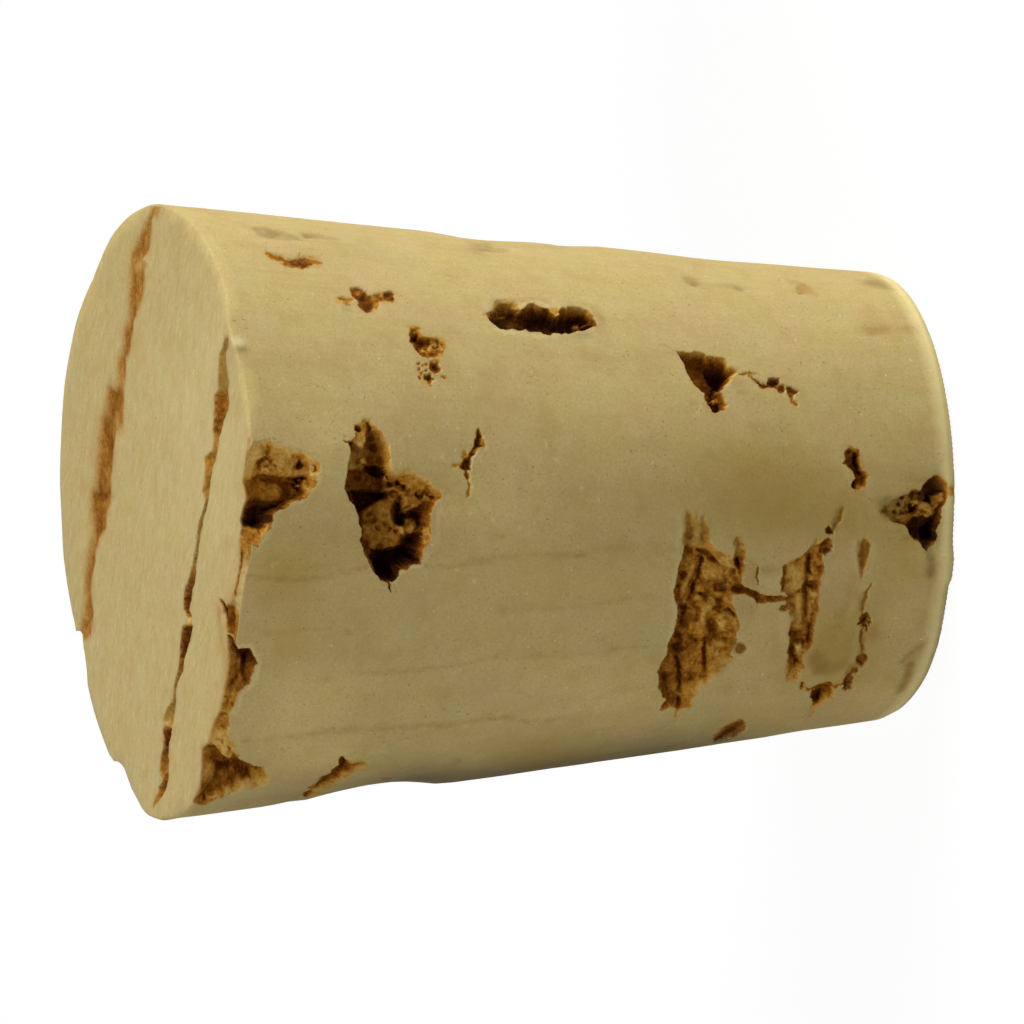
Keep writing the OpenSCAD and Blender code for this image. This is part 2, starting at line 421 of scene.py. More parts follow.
def stain(outline, kind, amount, blur=0.2, ragged=0.1, seed=1, line=False, dent=0.0, width=0.0, patchy=0.3):
    """Colour, and a slight dip, without a break in the skin."""
    th, z = as_th_z(outline)
    p = Patch(th, z, 0.4 + 2 * blur + width)
    u, v = p.warped(ragged, seed)
    flat = p.flat(th, z)
    if line:
        d, _ = near_line(flat, u, v)
        d = 0.5 * width - d
    else:
        d = inside(flat, u, v)
    m = smooth(-blur, blur, d) * (1 - patchy + patchy * fbm(p.x, p.y, p.z, 0.3, 2, seed + 9))
    side_mask[kind][p.at] = np.clip(side_mask[kind][p.at] + amount * m, -1, 1.5)
    if dent:
        sunk[p.at] = sunk[p.at] + dent * m


def see(p, deep):
    """Where in the reference view a patch's points appear when they lie this deep."""
    k = 1 - deep / np.hypot(p.x, p.y)
    return project(np.stack([p.x * k, p.y * k, p.z], -1))


def etch(text, base=None, depth=0.5, tone=0.45, soft=3.0, gentle="", seed=1, wild=1.5, fine=2.0, grain=0.05, lip=0.5,
         rough=1.0, rim_span=0.0, clip=True, keep_skin=False, calm=0.0, centre=0.5, crisp="", rim_fade=0.0):
    """Models and colours one break. Lengths in the text are pixels of the reference view, depths are mm.

    a DEPTH TONE SOFT | x,y ...        an area
    l WIDTH DEPTH TONE SOFT | x,y ...  a line
    d DEPTH TONE SOFT | x,y,r ...      round dots
    A dash leaves the depth or the tone as it is. base is the break's outline; with it, nothing is done outside."""
    ops = []
    spread = []
    for row in text.strip().splitlines():
        if "|" not in row:
            continue
        head, body = row.split("|")
        head = head.split()
        kind = head[0]
        nums = [None if h == "-" else float(h) for h in head[1:]]
        body = np.array([[float(c) for c in w.split(",")] for w in body.split()])
        ops.append((kind, nums, body))
        spread.append(body[:, :2])
    around = pts(base) if base else np.concatenate(spread)
    th, z = on_side(around)
    more = 0.7 + (0.3 if base else 0.5)
    p = Patch(th, z, more)
    deep = sunk[p.at].copy()
    n1 = fbm(p.x, p.y, p.z, 0.42, 4, seed, 0.72)
    n2 = fbm(p.x, p.y, p.z, 0.42, 4, seed + 50, 0.72)
    tight = np.zeros(p.x.shape)
    x0, y0 = see(p, np.zeros(p.x.shape))
    own = np.ones(p.x.shape)
    prof = np.ones(p.x.shape)
    loose = np.zeros(p.x.shape)
    if base:
        d = inside(around, x0 + 2 * wild * fbm(p.x, p.y, p.z, 0.42, 3, seed, 0.64),
                   y0 + 2 * wild * fbm(p.x, p.y, p.z, 0.42, 3, seed + 50, 0.64))
        # a wall that faces the reference eye shows as a slope; one that does not stays behind a crisp edge
        even = inside(around, x0, y0)
        (di, dj), (xi, xj), (yi, yj) = np.gradient(even), np.gradient(x0), np.gradient(y0)
        det = xi * yj - xj * yi
        ex, ey = (di * yj - dj * yi) / det, (dj * xi - di * xj) / det
        shows = -(0.35 * ex + (y0 - 512) / 305 * ey) / np.maximum(np.hypot(ex, ey), 1e-6)
        w = soft * mix(0.5, 1.25, smooth(-0.25, 0.35, shows))
        open_rim = smooth(-0.05, 0.4, shows)
        for g in gentle.split():
            gx, gy, gr, gs = (float(c) for c in g.split(","))
            near = smooth(1.3 * gr, 0.5 * gr, np.hypot(x0 - gx, y0 - gy))
            w = np.maximum(w, mix(w, gs, near))
            open_rim = np.maximum(open_rim, near)
        for g in crisp.split():
            gx, gy, gr = (float(c) for c in g.split(","))
            near = smooth(1.3 * gr, 0.6 * gr, np.hypot(x0 - gx, y0 - gy))
            w = mix(w, 0.45 * soft, near)
            tight = np.maximum(tight, near)
            open_rim = open_rim * (1 - near)
        w = w * (1 + 0.3 * n2)
        prof = smooth(0.0, 1.0, np.clip(d / w, 0, 1))
        own = smooth(-0.8, 0.8 + 0.45 * (w - soft), d + 1.1 * tight)
        deep = np.maximum(deep, depth * prof)
        loose = own

    def within(op, x, y, wob):
        kind, nums, body = op
        blur = nums[-1]
        if kind == "a":
            s = inside(body, x, y)
        elif kind == "l":
            s, along = near_line(body, x, y)
            s = 0.5 * nums[0] * (1 + 0.5 * wob) * (0.55 + 0.45 * np.sin(PI * np.clip(along, 0.06, 0.94))) - s
        else:
            s = np.full(x.shape, -99.0)
            for cx, cy, cr in body:
                s = np.maximum(s, cr - np.hypot(x - cx, y - cy))
        return smooth(-0.5 * blur, 0.5 * blur, s) * (own if clip and base else 1.0)

    # the shape first
    for op in ops:
        dep = op[1][-3]
        if dep is None:
            continue
        x, y = see(p, dep * prof)
        m = within(op, x + 2 * fine * n2, y - 2 * fine * n1, n1)
        deep = mix(deep, dep * (prof if base else 1.0), m)
        if not base:
            loose = np.maximum(loose, m)
    k = 1 - deep / np.hypot(p.x, p.y)
    wx, wy = p.x * k, p.y * k
    lumps = fbm(wx, wy, p.z, 0.30, 3, seed + 20, 0.65)
    crumbs = 0.5 - 0.55 * cells(wx, wy, p.z, 0.19, seed + 30) - 0.45 * cells(wx, wy, p.z, 0.36, seed + 40)
    deep = np.maximum(deep + grain * loose * np.clip(deep / 0.12, 0, 1) * (0.9 * lumps + 1.3 * crumbs), 0)
    if rim_span:
        gap = np.interp(np.degrees(TH[p.cols]) % 360, GAP_AT, GAP)
        back = smooth(0.0, rim_span, L - p.z)
        held = np.minimum(own, smooth(0.0, rim_fade, d)) if rim_fade else own
        deep = mix(deep, mix(np.broadcast_to(gap, deep.shape) + 0.02, deep, back), held)
    # then the colour, where each point of that shape shows; steep walls are mottled less
    steep = np.hypot(np.gradient(deep, axis=0) / (ZS[1] - ZS[0]), np.gradient(deep, axis=1) / (p.rm * 2 * PI / NU))
    even_out = 1 / (1 + (steep / 3.5) ** 2)
    cover = side_mask["pit"][p.at].astype(float)
    tn = np.where(cover < 0.02, 0.86, side_mask["tone"][p.at].astype(float))
    if base:
        tn = mix(tn, mix(tone, centre, calm), smooth(0.0, 0.5, own))
        cover = np.maximum(cover, smooth(0.0, 0.5, own))
    elif not keep_skin:
        under = smooth(0.02, 0.3, loose) * smooth(0.03, 0.08, deep)
        tn = np.where(cover < 0.02, mix(tn, 0.44, under), tn)
        cover = np.maximum(cover, 0.9 * under)
    x, y = see(p, deep)
    k = 1 - deep / np.hypot(p.x, p.y)
    wx, wy = p.x * k, p.y * k
    n3 = fbm(wx, wy, p.z, 0.42, 4, seed, 0.72)
    x = x + 2 * fine * even_out * fbm(wx, wy, p.z, 0.42, 4, seed + 50, 0.72)
    y = y - 2 * fine * even_out * n3
    for op in ops:
        if op[1][-2] is None:
            continue
        m = within(op, x, y, n3)
        tn = mix(tn, mix(op[1][-2], centre, calm), m)
        if not base and not keep_skin:
            cover = np.maximum(cover, smooth(0.0, 0.5, m))
    if base:
        rim_tone = mix(lip, 0.84, np.clip((w - soft) / 6.0, 0, 1)) * open_rim
        tn = mix(np.maximum(tn, rim_tone), tn, smooth(0.0, 0.55, prof))
    tn = np.clip(tn + rough * even_out * cover * (0.14 * lumps + 0.26 * (crumbs + 0.06)), 0, 1)
    sunk[p.at] = deep
    side_mask["tone"][p.at] = np.where(cover < 0.004, side_mask["tone"][p.at], tn)
    side_mask["pit"][p.at] = cover
    return p


# ---------------------------------------------------------------- breaks and pores of the visible side
# Rim breaks first: they meet the face.
# Break K, by the edge of the big end
etch("""
a .45 .70 4 | 236,436 270,434 300,444 325,460 322,476 303,475 288,477 275,475 262,473 246,482 236,482
a .18 .84 3 | 236,442 262,441 266,444 266,455 259,460 256,467 250,474 240,480 236,480
l 5 .55 .42 3 | 269,441 270,449 268,457
l 4 .50 .55 3 | 274,444 282,450
l 4.5 .65 .34 2.5 | 268,457 260,462 261,470
l 4 .55 .46 2.5 | 262,468 253,477
d .55 .50 2 | 267,465,3 272,461,2.5 276,466,2 285,462,2 279,455,2
a .40 .76 4 | 281,453 291,451 294,463 291,473 281,473 278,463
d .60 .44 2 | 298,456,3 294,457,2 303,455,2.5 300,460,2.5
d .75 .26 2 | 300,465,3.6 296,468,2.5
l 5 .60 .48 3 | 304,462 309,470
a .15 .80 3 | 311,465 315,467 315,478 311,482 309,474
a 1.0 .34 2.5 | 248,479 262,474 276,476 290,478 303,476 306,482 306,491 302,499 291,501 284,507 274,511 260,509 248,506 244,496 245,484
a .85 .46 4 | 262,482 278,483 284,491 281,500 268,501 257,494
l 3 .9 .24 2 | 262,476 276,477 290,479
a 1.1 .14 2 | 290,478 302,477 303,483 297,482
a 1.15 .12 2 | 291,483 301,487 301,493 293,488
l 6 1.0 .24 2.5 | 286,483 288,492 286,503
d .85 .44 2 | 295,492,3.4 299,495,2.4
d .60 .66 1.5 | 299,485,1.6
a .45 .62 3 | 303,478 310,477 316,484 312,491 304,496 302,488
d .40 .74 2 | 307,487,2.4 311,484,2
a .5 .44 3 | 239,513 246,512 246,528 239,529
a 1.75 .03 2.5 | 246,506 256,502 268,503 280,503 287,502 284,508 273,512 274,521 268,524 264,529 256,530 250,526 243,530 245,515
a 1.2 .16 5 | 246,498 262,500 280,501 288,501 282,506 262,505 248,508
a .45 .58 2 | 232,530 249,526 257,529 264,530 270,536 264,550 256,560 247,566 230,566
d .55 .50 1.5 | 248,535,1.8 253,533,1.6 257,537,1.5 250,541,1.8 245,546,2
l 2.6 .75 .24 1.5 | 260,530 262,536 260,542
a .22 .68 2.5 | 263,530 270,524 278,529 272,538 264,546 259,546
d .3 .62 1.5 | 266,533,1.5 270,530,1.5 265,540,1.5
l 4 .6 .34 2 | 250,547 247,554 244,560
""", base="250,446 256,443 263,440 268,438 274,440 283,445 292,448 300,449 308,453 314,459 320,464 321,470 317,474 317,482 "
          "316,487 311,491 305,497 300,499 296,498 291,501 288,504 286,506 280,507 275,511 273,515 273,520 271,524 270,528 "
          "267,534 263,541 259,546 253,545 250,548 248,553 236,556 215,556 215,446 240,447",
     depth=.8, tone=.5, soft=3, gentle="268,444,26,12 300,454,22,10 250,456,20,9 316,468,10,6 246,553,9,9", seed=101, rim_span=1.0, rim_fade=9,
     grain=.07, calm=.10, centre=.48, wild=1.9, crisp="302,498,9 291,501,8 281,507,8 273,514,8 271,523,8")
stain("317,471 318,481 312,490 302,500 290,504 280,509 275,517 273,528 267,538 261,547", "pale", .55, .07, seed=103,
      line=True, width=.22)
stain("322,470 323,483 316,496 305,505 292,510 284,515 281,530 274,544", "warm", .12, .16, seed=104, line=True, width=.3)

etch("""
a .95 .36 4 | 244,662 256,658 258,664 254,668 252,678 248,684 243,680
a 1.1 .18 2.5 | 238,650 249,646 253,652 255,657 255,661 249,662 243,659 239,655
a .55 .54 4 | 226,648 236,650 242,660 243,670 241,682 234,690 226,690 224,668
l 4 .9 .16 2.5 | 229,622 231,632 233,640 238,648
d .6 .30 2 | 231,681,3 228,672,2.4 236,676,2.4
d .7 .60 3 | 234,660,3
a .75 .32 3 | 244,676 250,676 248,684 242,688
a .35 .62 4 | 218,690 236,690 236,700 233,711 218,712
d .6 .38 2 | 226,696,2 231,703,2 224,706,1.6
""", base="232,636 236,641 239,650 244,649 249.6,647.5 252,651 254,656 258,664 254,667 254,672 250,683 246,686 238,694 235.5,700 "
          "235,706 230,713 200,713 200,636", depth=.8, tone=.46, soft=1.8, seed=111, rim_span=.7, grain=.06, lip=.3, wild=.9)
stain("238,648 244,646 251,646 256,654 261,663 257,668 257,674 253,684 247,690 240,696 238,706 233,714", "pale", .75, .06,
      seed=112, line=True, width=.2)
stain("256,655 264,658 266,666 258,670", "warm", .5, .12, seed=113)
etch("""
l 3 .5 .40 2 | 214,715 222,714 229,713
a .3 .58 3 | 210,716 229,718 229,730 212,732
a .26 .78 4 | 206,732 228,730 228,738 234,744 238,754 222,758 208,750
d .4 .50 2 | 219,722,2 225,727,1.8 216,738,2 223,742,1.8 229,747,1.8 220,750,2
d .2 .82 2 | 222,733,2 227,750,2 231,741,1.6
""", base="222,713 231,712 228,716 231,725 226,735 233,742 235,750 241,756 224,760 216,758 195,757 195,712",
     depth=.3, tone=.62, soft=2.4, seed=121, rim_span=.8, grain=.07, lip=.6)
etch("""
a .8 .44 4 | 196,744 206,746 212,756 210,766 196,766
a .7 .62 5 | 198,764 212,762 216,772 212,784 198,784
a 1.1 .20 4 | 218,759 238,757 246,764 252,770 246,776 226,774 216,768
a .9 .42 4 | 214,768 226,768 232,774 226,780 214,780
a 1.2 .22 4 | 226,778 240,774 252,774 254,784 240,790 226,790
a .8 .28 5 | 206,784 226,784 230,792 216,798 204,802
a .55 .56 4 | 250,767 266,768 271,780 262,787 250,786
l 4 .9 .30 3 | 208,750 214,758 222,762
d .8 .44 3 | 232,770,2.6 246,780,2.6 222,788,2.6
""", base="206,743 208,750 213,756 222,759 238,757 243,761 252,766 264,768 272,780 262,788 250,790 240,794 226,797 "
          "212,802 203,805 185,806 180,742 200,741",
     depth=1.0, tone=.40, soft=2.6, gentle="262,780,14,10 240,792,16,12 214,798,9,6", seed=131, rim_span=.9, grain=.07, lip=.4)

# Break L
etch("""
a .70 .62 5 | 384,466 400,464 420,468 436,480 450,498 437,503 430,507 420,509 412,505 404,509 398,516 391,512 391,500 383,494 381,482
a .12 .62 5 | 350,418 378,417 384,432 370,431 366,435 360,430
l 5 .7 .30 3 | 367,424 369,432
a .12 .70 4 | 352,430 365,429 367,440 365,448 362,457 356,454 351,444
a .8 .68 2.5 | 347,449 358,450 361,458 362,468 348,470
d .45 .66 2.5 | 363,461,3.4
a 1.2 .58 3 | 366,432 384,434 390,446 392,466 388,472 380,468 370,464 364,452 366,440
l 5 .8 .62 3.5 | 388,438 391,452 393,468
d 1.3 .34 2.5 | 371,439,3.4 373,449,4.4 369,459,3.4 380,461,4.4 386,454,2 378,440,2
a 1.6 .06 2.5 | 361,468 372,466 382,468 385,475 383,481 376,479 367,475
a 1.2 .30 3 | 347,471 360,471 372,477 382,482 382,491 370,492 348,491
d 1.1 .40 2 | 368,483,3.5 360,478,2.5 375,486,2.5
a 1.8 .03 2.5 | 346,491 372,493 384,494 380,500 372,505 364,509 357,515 350,506
a .95 .52 3.5 | 362,512 372,505 380,500 388,498 395,502 396,512 394,523 400,531 402,537 396,547 386,548 374,550 365,547 360,536 361,524
a .85 .57 4 | 378,505 390,502 392,514 387,521 376,518
d .85 .50 3 | 371,536,4 379,534,3.5 386,541,3
d 1.1 .30 2.5 | 384,524,2.4 372,521,3 389,529,2 396,531,2.2 380,546,3 366,522,3 363,544,4 377,528,2 368,514,2.5
a 1.4 .14 2.5 | 392,500 398,499 401,511 405,514 412,518 416,523 404,525 398,523 394,525 391,514
a 1.6 .05 2 | 394,514 404,516 407,524 399,527 394,523
a 1.4 .17 3 | 404,511 414,508 422,508 427,512 424,531 420,533 418,526 414,518 406,517
d 1.0 .22 3 | 392,494,3.6 398,499,3.6 388,485,3 396,483,3.2 402,487,3
d .95 .26 3 | 418,494,4 426,492,3.4 431,498,3 427,487,2.4
d .75 .40 2.5 | 408,490,2.4 413,484,2.2 422,484,2
a .55 .62 3 | 400,470 414,473 424,484 410,489 403,482
d .7 .40 2.5 | 392,480,2.4 399,487,3 395,495,3 405,494,2.2 420,492,3 427,492,2.5 413,478,1.8 404,476,1.6 428,500,2.6
d .55 .72 2 | 386,477,2.5 393,474,2.5 437,489,2.5
l 3 .75 .70 2 | 404,512 411,508 420,502 429,499
a 1.1 .32 3 | 410,511 424,504 431,506 428,514 417,512
a 1.0 .56 2.5 | 404,519 414,518 418,526 413,533 405,531
d .9 .72 2 | 412,525,3
a .45 .78 1.5 | 399,526 403,526 406,531 404,536 400,532
a 1.9 .01 2 | 371,549 384,548 398,545 403,537 412,533 421,531 423,552 421,562 408,565 400,568 396,580 382,583 374,573 367,560
a .55 .80 2 | 422,530 427,524 428,512 434,506 436,500 442,498 441,520 435,545 424,553
a - .34 3 | 419,503 428,500 434,503 431,514 429,526 422,530 419,520
d .7 .50 2 | 427,538,2.5 430,520,2.2 426,546,2 431,529,2 433,512,2
l 3.5 .5 .55 2 | 363,551 369,560 374,571
""", base="354,424 360,421 366,418 372,420 376,426 379,431 384,436 388,442 390,449 391,456 392,463 393,469 398,470 404,469 "
          "411,470 418,473 424,476 429,479 433,484 438,488 441,491 443,495 444,498 440,499 437,501 434,505 432,511 431,519 "
          "431,527 431,535 430,543 426,548 423,551 421,557 420,563 410,564 405,567 400,569 398,574 396,579 393,581 388,582 "
          "381,581 377,576 372,571 369,563 366,557 363,552 361,546 360,538 360,528 359,519 356,511 353,506 350,500 348,494 "
          "346,489 347,483 348,475 349,465 350,455 351,448 350,444 347,441.5 344,442 343,440 346,439 352,438 356,436 355,430",
     depth=1.2, tone=.4, soft=2.6, gentle="366,421,12,8 388,442,12,7 412,472,26,12 436,486,14,8 345,440,6,5", seed=141, grain=.07, calm=.12, centre=.44,
     wild=1.8, crisp="404,567,9 396,575,8 414,563,7")
stain("395,581 400,574 406,569 414,566 422,565", "pale", .7, .07, seed=143, line=True, width=.2)
stain("424,560 428,552 434,548 437,530 440,510", "pale", .45, .10, seed=144, line=True, width=.25)
stain("396,466 412,466 426,473 436,481 446,490", "warm", .25, .14, seed=145, line=True, width=.3)
stain("426,566 424,560 432,556", "warm", .4, .08, seed=146, line=True, width=.18)
etch("""
l 2.2 .15 .42 1.5 | 388,581 388,586 390,592
""", seed=147)

# Hole E: one dark, deep hole near the top, seen at a slant
etch("""
a .26 .60 5 | 491,301 516,299 519,308 510,315 495,315 489,312
a .30 .46 3.5 | 498,303 508,302 512,308 504,312 497,310
d .25 .50 2.5 | 509,304,2.5 513,302,2 495,306,2
d .45 .30 2.5 | 501,312,4 495,311,2.5
d .40 .24 2 | 519,305,2.2 502,306,1.8
a .18 .68 3 | 511,309 518,308 519,313 513,314
l 4 .05 .56 4 | 482,316 490,316
a .7 .20 3 | 490,318 508,318 514,316 522,318 524,330 505,329 494,325
l 2.4 .40 .50 2 | 490,318 498,318 506,317
d .75 .34 2.5 | 512,322,2.2 517,324,1.8 507,321,1.8 515,319,1.6 509,327,1.8
a 1.0 .23 3 | 521,311 527,305 536,304 546,308 553,313 553,318 524,320
l 3.4 .7 .34 2.5 | 528,306 534,307 541,309
d .9 .38 2 | 527,310,1.8
a 1.6 .07 4 | 524,320 553,316 572,318 572,333 530,331
a 1.5 .04 3 | 558,308 585,310 590,318 585,323 574,324 566,330 556,318
l 4 1.3 .24 3 | 561,322 566,319
l 3 1.2 .14 2.5 | 535,312 538,322 536,328
l 3 1.2 .15 2.5 | 545,314 549,323
a .45 .44 3 | 584,311 592,313 595,322 588,325 585,318
d .4 .66 2 | 588,314,2 591,317,1.8
d .5 .24 2 | 593,323,2.4 587,321,2
a .5 .42 2.5 | 573,325 579,323 580,330 572,332
d .5 .34 2 | 574,328,2.6
l 3.4 .30 .30 2 | 580,328 588,326 595,325
""", base="481,315 487,319 490,321 494,324 500,327 505,329 511,330 518,331 525,330 531,332 537,333 542,333 547,335 552,334 "
          "556,334 560,335 565,332 570,334 573,333 577,331 583,330 590,328 597,326 596,320 593,314 588,310 580,307 570,306 "
          "561,307 559,314 555,316 551,313 547,309 541,306 534,303 527,304 521,309 518,304 515,300 505,299 495,300 493,306 "
          "490,312 486,314",
     depth=.8, tone=.12, soft=2.2, gentle="502,299,22,9 534,302,12,6 575,305,20,7 594,313,9,7 485,316,7,7 519,302,8,7",
     seed=151, grain=.05, lip=.32, fine=1.4)
etch("""
d .02 .66 3.5 | 554,311,4.2
""", seed=152, grain=.01, rough=.5)
stain("575,334 590,333 594,336 588,340 577,339", "grey", .45, .14, seed=155, dent=.03)
stain("562,304 570,301 590,303 600,308 604,320 596,318 590,308", "grey", .35, .14, seed=153)
stain("600,312 606,320 604,332 596,334 592,330", "grey", .30, .18, seed=157)
stain("516,299 530,297 548,298 549,303 536,300 522,303", "warm", .34, .12, seed=154)
stain("516,299 530,297 548,298 549,303 536,300 522,303", "grey", .30, .12, seed=158)
stain("519,309 523,304 528,301 536,301 545,304 553,308", "pale", .55, .05, seed=156, line=True, width=.12)
stain("496,329 506,332 520,334 540,337 556,337", "pale", .6, .08, seed=159, line=True, width=.2)
stain("548,337 560,340 572,338", "grey", .22, .14, seed=160, line=True, width=.2)

# Pore G and its tail
etch("""
a .8 .34 4 | 679,354 704,354 705,366 700,380 690,380 684,366
l 3 .6 .50 3 | 705,356 706,363
a .7 .38 4 | 707,357 722,357 724,374 708,374
l 4 .6 .38 3 | 712,362 720,370 724,378
l 3 .8 .20 3 | 709,358 712,368
a .45 .40 5 | 722,360 732,366 740,372 733,378 726,384 722,372
l 4 .5 .28 3 | 724,364 731,369 737,372
l 3 .55 .24 3 | 721,374 727,378
l 3 .40 .50 3 | 726,370 731,375
a 1.5 .18 6 | 696,376 722,376 724,384 717,391 714,402 708,398 700,388
l 5 .9 .16 3 | 711,394 711,402 713,409
a .5 .26 3 | 710,404 720,405 720,412 713,413
a .30 .46 4 | 716,392 722,394 727,400 730,405 724,408 716,404
l 4 .45 .34 3 | 718,394 720,402 724,407
d .20 .64 2.5 | 714,402,2.6
d .35 .34 2 | 727,405,2.4 720,408,2
""", base="676,351 679,356 683,362 686,369 688,376 690,381 695,385 700,389 704,393 706,398 708,402 711,408 713,412 716,414 "
          "719,412 722,410 727,408 730,405 727,401 724,396 719,392 722,390 727,386 731,382 733,378 738,375 741,373 737,369 "
          "732,366 728,362 724,358 718,356 712,355 708,356 704,353 697,351 690,351 683,350",
     depth=.7, tone=.28, soft=2.6, gentle="690,350,18,7 716,355,14,6 735,369,12,9 729,383,9,6 727,402,9,8", seed=161,
     grain=.07, lip=.42)
etch("""
l 2.0 .05 .50 2 | 738,374 748,374 756,375
l 2.2 .08 .46 2.5 | 748,377 753,380 758,384
l 3 .12 .34 2.5 | 756,384 762,386 767,387
a .25 .18 2.5 | 767,382 771,380 777,383 777,388 769,388 766,386
l 4 .10 .38 3 | 777,386 781,389
d .16 .30 2.5 | 781,391,3.2
a .16 .30 3 | 786,389 793,391 797,394 794,397 787,394
l 5 .12 .38 3 | 791,395 793,400
l 3 .05 .50 4 | 793,401 797,405
""", seed=165, grain=.02, rough=.6)
stain("747,377 757,377 764,382 756,382", "warm", .30, .07, seed=166)
stain("736,391 741,389 750,390 749,393 739,395", "grey", .5, .07, seed=164)
stain("490,299 516,298 520,306 508,316 490,315", "grey", .45, .12, seed=163)
stain("731,379 745,380 744,387 733,386", "warm", .45, .12, seed=167)
stain("701,396 708,402 709,410 703,408", "warm", .35, .12, seed=168)
stain("796,388 806,380 808,396 802,398", "warm", .25, .16, seed=169)
stain("676,351 668,347 658,345", "line", .7, .05, seed=170, line=True, width=.06)

# Grey and brown spots along the top
for k, (text, kind, amount, blur) in enumerate([
        ("684,275 690,277 699,282 699,286 690,285 684,281", "grey", .70, .10), ("691,280 699,281 702,286 696,287 690,284", "grey", .50, .08),
        ("684,275 700,279 714,286 713,289 700,288 686,284", "warm", .18, .14), ("702,284 713,286 713,289 702,288", "grey", .30, .08),
        ("722,284 734,284 746,288 745,292 735,290 724,288", "grey", .50, .10), ("734,286 744,288 743,291 735,290", "grey", .45, .07),
        ("786,279 797,281 804,285 790,284", "grey", .40, .12), ("784,289 796,291 798,294 787,293", "warm", .35, .12),
        ("796,284 801,282 808,286 814,291 816,296 807,295 797,294", "warm", .80, .12),
        ("797,285 804,290 803,294 798,294", "grey", .55, .08), ("866,328 880,329 879,335 867,334", "warm", .45, .12),
        ("862,279 880,279 893,283 900,291 888,290 874,286 864,284", "grey", .95, .16),
        ("858,320 893,322 893,336 862,336", "warm", .30, .3), ("866,326 890,326 888,335 868,335", "grey", .55, .15),
        ("903,326 921,325 921,332 903,333", "warm", .5, .15), ("692,404 700,404 700,412 692,412", "grey", .25, .15),
        ("265,230 272,229 280,233 275,236 267,234", "grey", .45, .07), ("268,230 278,232 276,235 269,234", "warm", .45, .06),
        ("301,233 313,234 314,237 304,238", "grey", .45, .07), ("303,234 312,235 311,238 305,237", "warm", .5, .06),
        ("470,245 484,242 494,244 494,252 480,252 470,251", "grey", .50, .14), ("480,245 494,246 493,250 481,250", "grey", .30, .08),
        ("494,247 508,248 508,253 495,252", "grey", .55, .12)]):
    stain(text, kind, amount, blur, 0.12, 700 + k, dent=.05 if kind == "grey" else 0.02)

# A, B, C, D, F near the big end
stain("252,228 262,226 280,230 300,236 303,241 285,240 270,238 258,235", "grey", 0.75, 0.10, seed=182, dent=.05)
stain("303,233 316,234 330,237 343,240 330,240 304,238", "grey", 0.65, 0.10, seed=183, dent=0.04)
etch("""
l 3.4 .08 .46 3 | 266,253 273,257 280,261
l 5 .10 .42 4 | 276,257 286,263 296,265
a .10 .34 4 | 290,263 297,260 306,259 312,262 312,267 302,269 292,267
d .12 .22 2.5 | 300,264,3 306,264,2.6 303,267,2
l 6 .06 .46 4 | 310,263 320,264
l 2.4 .04 .58 3 | 300,258 301,253
l 2.4 .04 .60 3 | 311,259 313,256
""", seed=185, grain=.03, rough=1.0)
stain("262,250 280,253 300,253 322,257 322,268 300,268 282,264", "warm", .34, .14, seed=186)
etch("""
a .12 .36 3.5 | 351,291 357,289 364,293 371,297 374,303 364,306 357,302 353,297
a .22 .27 3 | 357,300 364,298 373,302 376,307 372,312 366,312 360,308
d .26 .16 2.5 | 363,300,2.4 369,306,2.8 367,310,2.4
d .10 .48 2.5 | 358,293,2.4 372,300,2 375,304,1.8
l 4 .08 .54 4 | 371,297 377,301 377,307
a .07 .42 3.5 | 375,295 382,294 384,302 377,302
a .13 .30 3 | 383,294 390,293 394,297 393,303 384,302
d .16 .22 2.5 | 388,299,2.8
l 4.4 .06 .50 4 | 338,300 344,301 352,301
l 3 .04 .56 3 | 345,304 349,306
""", seed=187, grain=.04)
stain("340,300 352,301 352,312 342,312", "grey", 0.42, 0.14, seed=188)
stain("350,288 366,291 380,292 396,293 396,304 380,306 376,312 360,312 352,302", "warm", .34, .12, seed=189)
etch("""
l 3 .05 .54 3 | 402,326 408,330
a .12 .40 3.5 | 408,328 418,327 420,335 412,339
a .28 .31 3 | 410,338 428,337 432,345 426,354 417,350
d .40 .12 3 | 419,346,4 414,341,2.6
a .12 .55 3.5 | 429,337 441,336 446,343 443,352 436,357 428,352
d .22 .26 2.2 | 437,342,2.4 433,349,2.4 438,352,2.4 442,345,2 432,340,1.8 436,347,1.8
d .10 .70 2 | 434,345,2 441,349,1.8 429,350,2 440,340,1.6
l 4 .20 .32 3 | 421,354 429,357 436,356
d .10 .62 2 | 423,351,1.8 415,333,1.6
""", base="404,327 409,330 408,335 410,341 413,347 417,352 421,356 428,359 436,358 441,354 445,348 447,342 442,336 434,336 "
          "427,336 421,335 420,329 416,326 409,327",
     depth=.14, tone=.40, soft=2.8, gentle="414,328,9,6 440,338,9,7 436,356,9,6", seed=191, grain=.06, lip=.5)
etch("""
a .12 .44 3 | 430,363 438,364 440,371 434,375 429,371
d .22 .20 2.5 | 434,370,3.6
l 2.6 .05 .58 3 | 434,361 440,362
a .12 .34 2.5 | 423,376 429,375 433,380 429,385 424,380
d .18 .20 2 | 428,380,2.2
d .06 .50 2 | 419,364,1.8 422,367,1.5 418,371,1.8 421,374,1.6 420,379,1.8 425,371,1.5 426,366,1.5
l 2.4 .04 .50 2.5 | 440,377 447,378
l 2.6 .03 .60 3 | 428,385 430,388
""", seed=193, grain=.03, rough=.8)
stain("410,330 430,332 448,340 446,356 440,376 424,386 416,374 414,356", "warm", .36, .16, seed=195)
stain("458,341 472,341 472,346 458,346", "warm", 0.25, 0.12, seed=196)

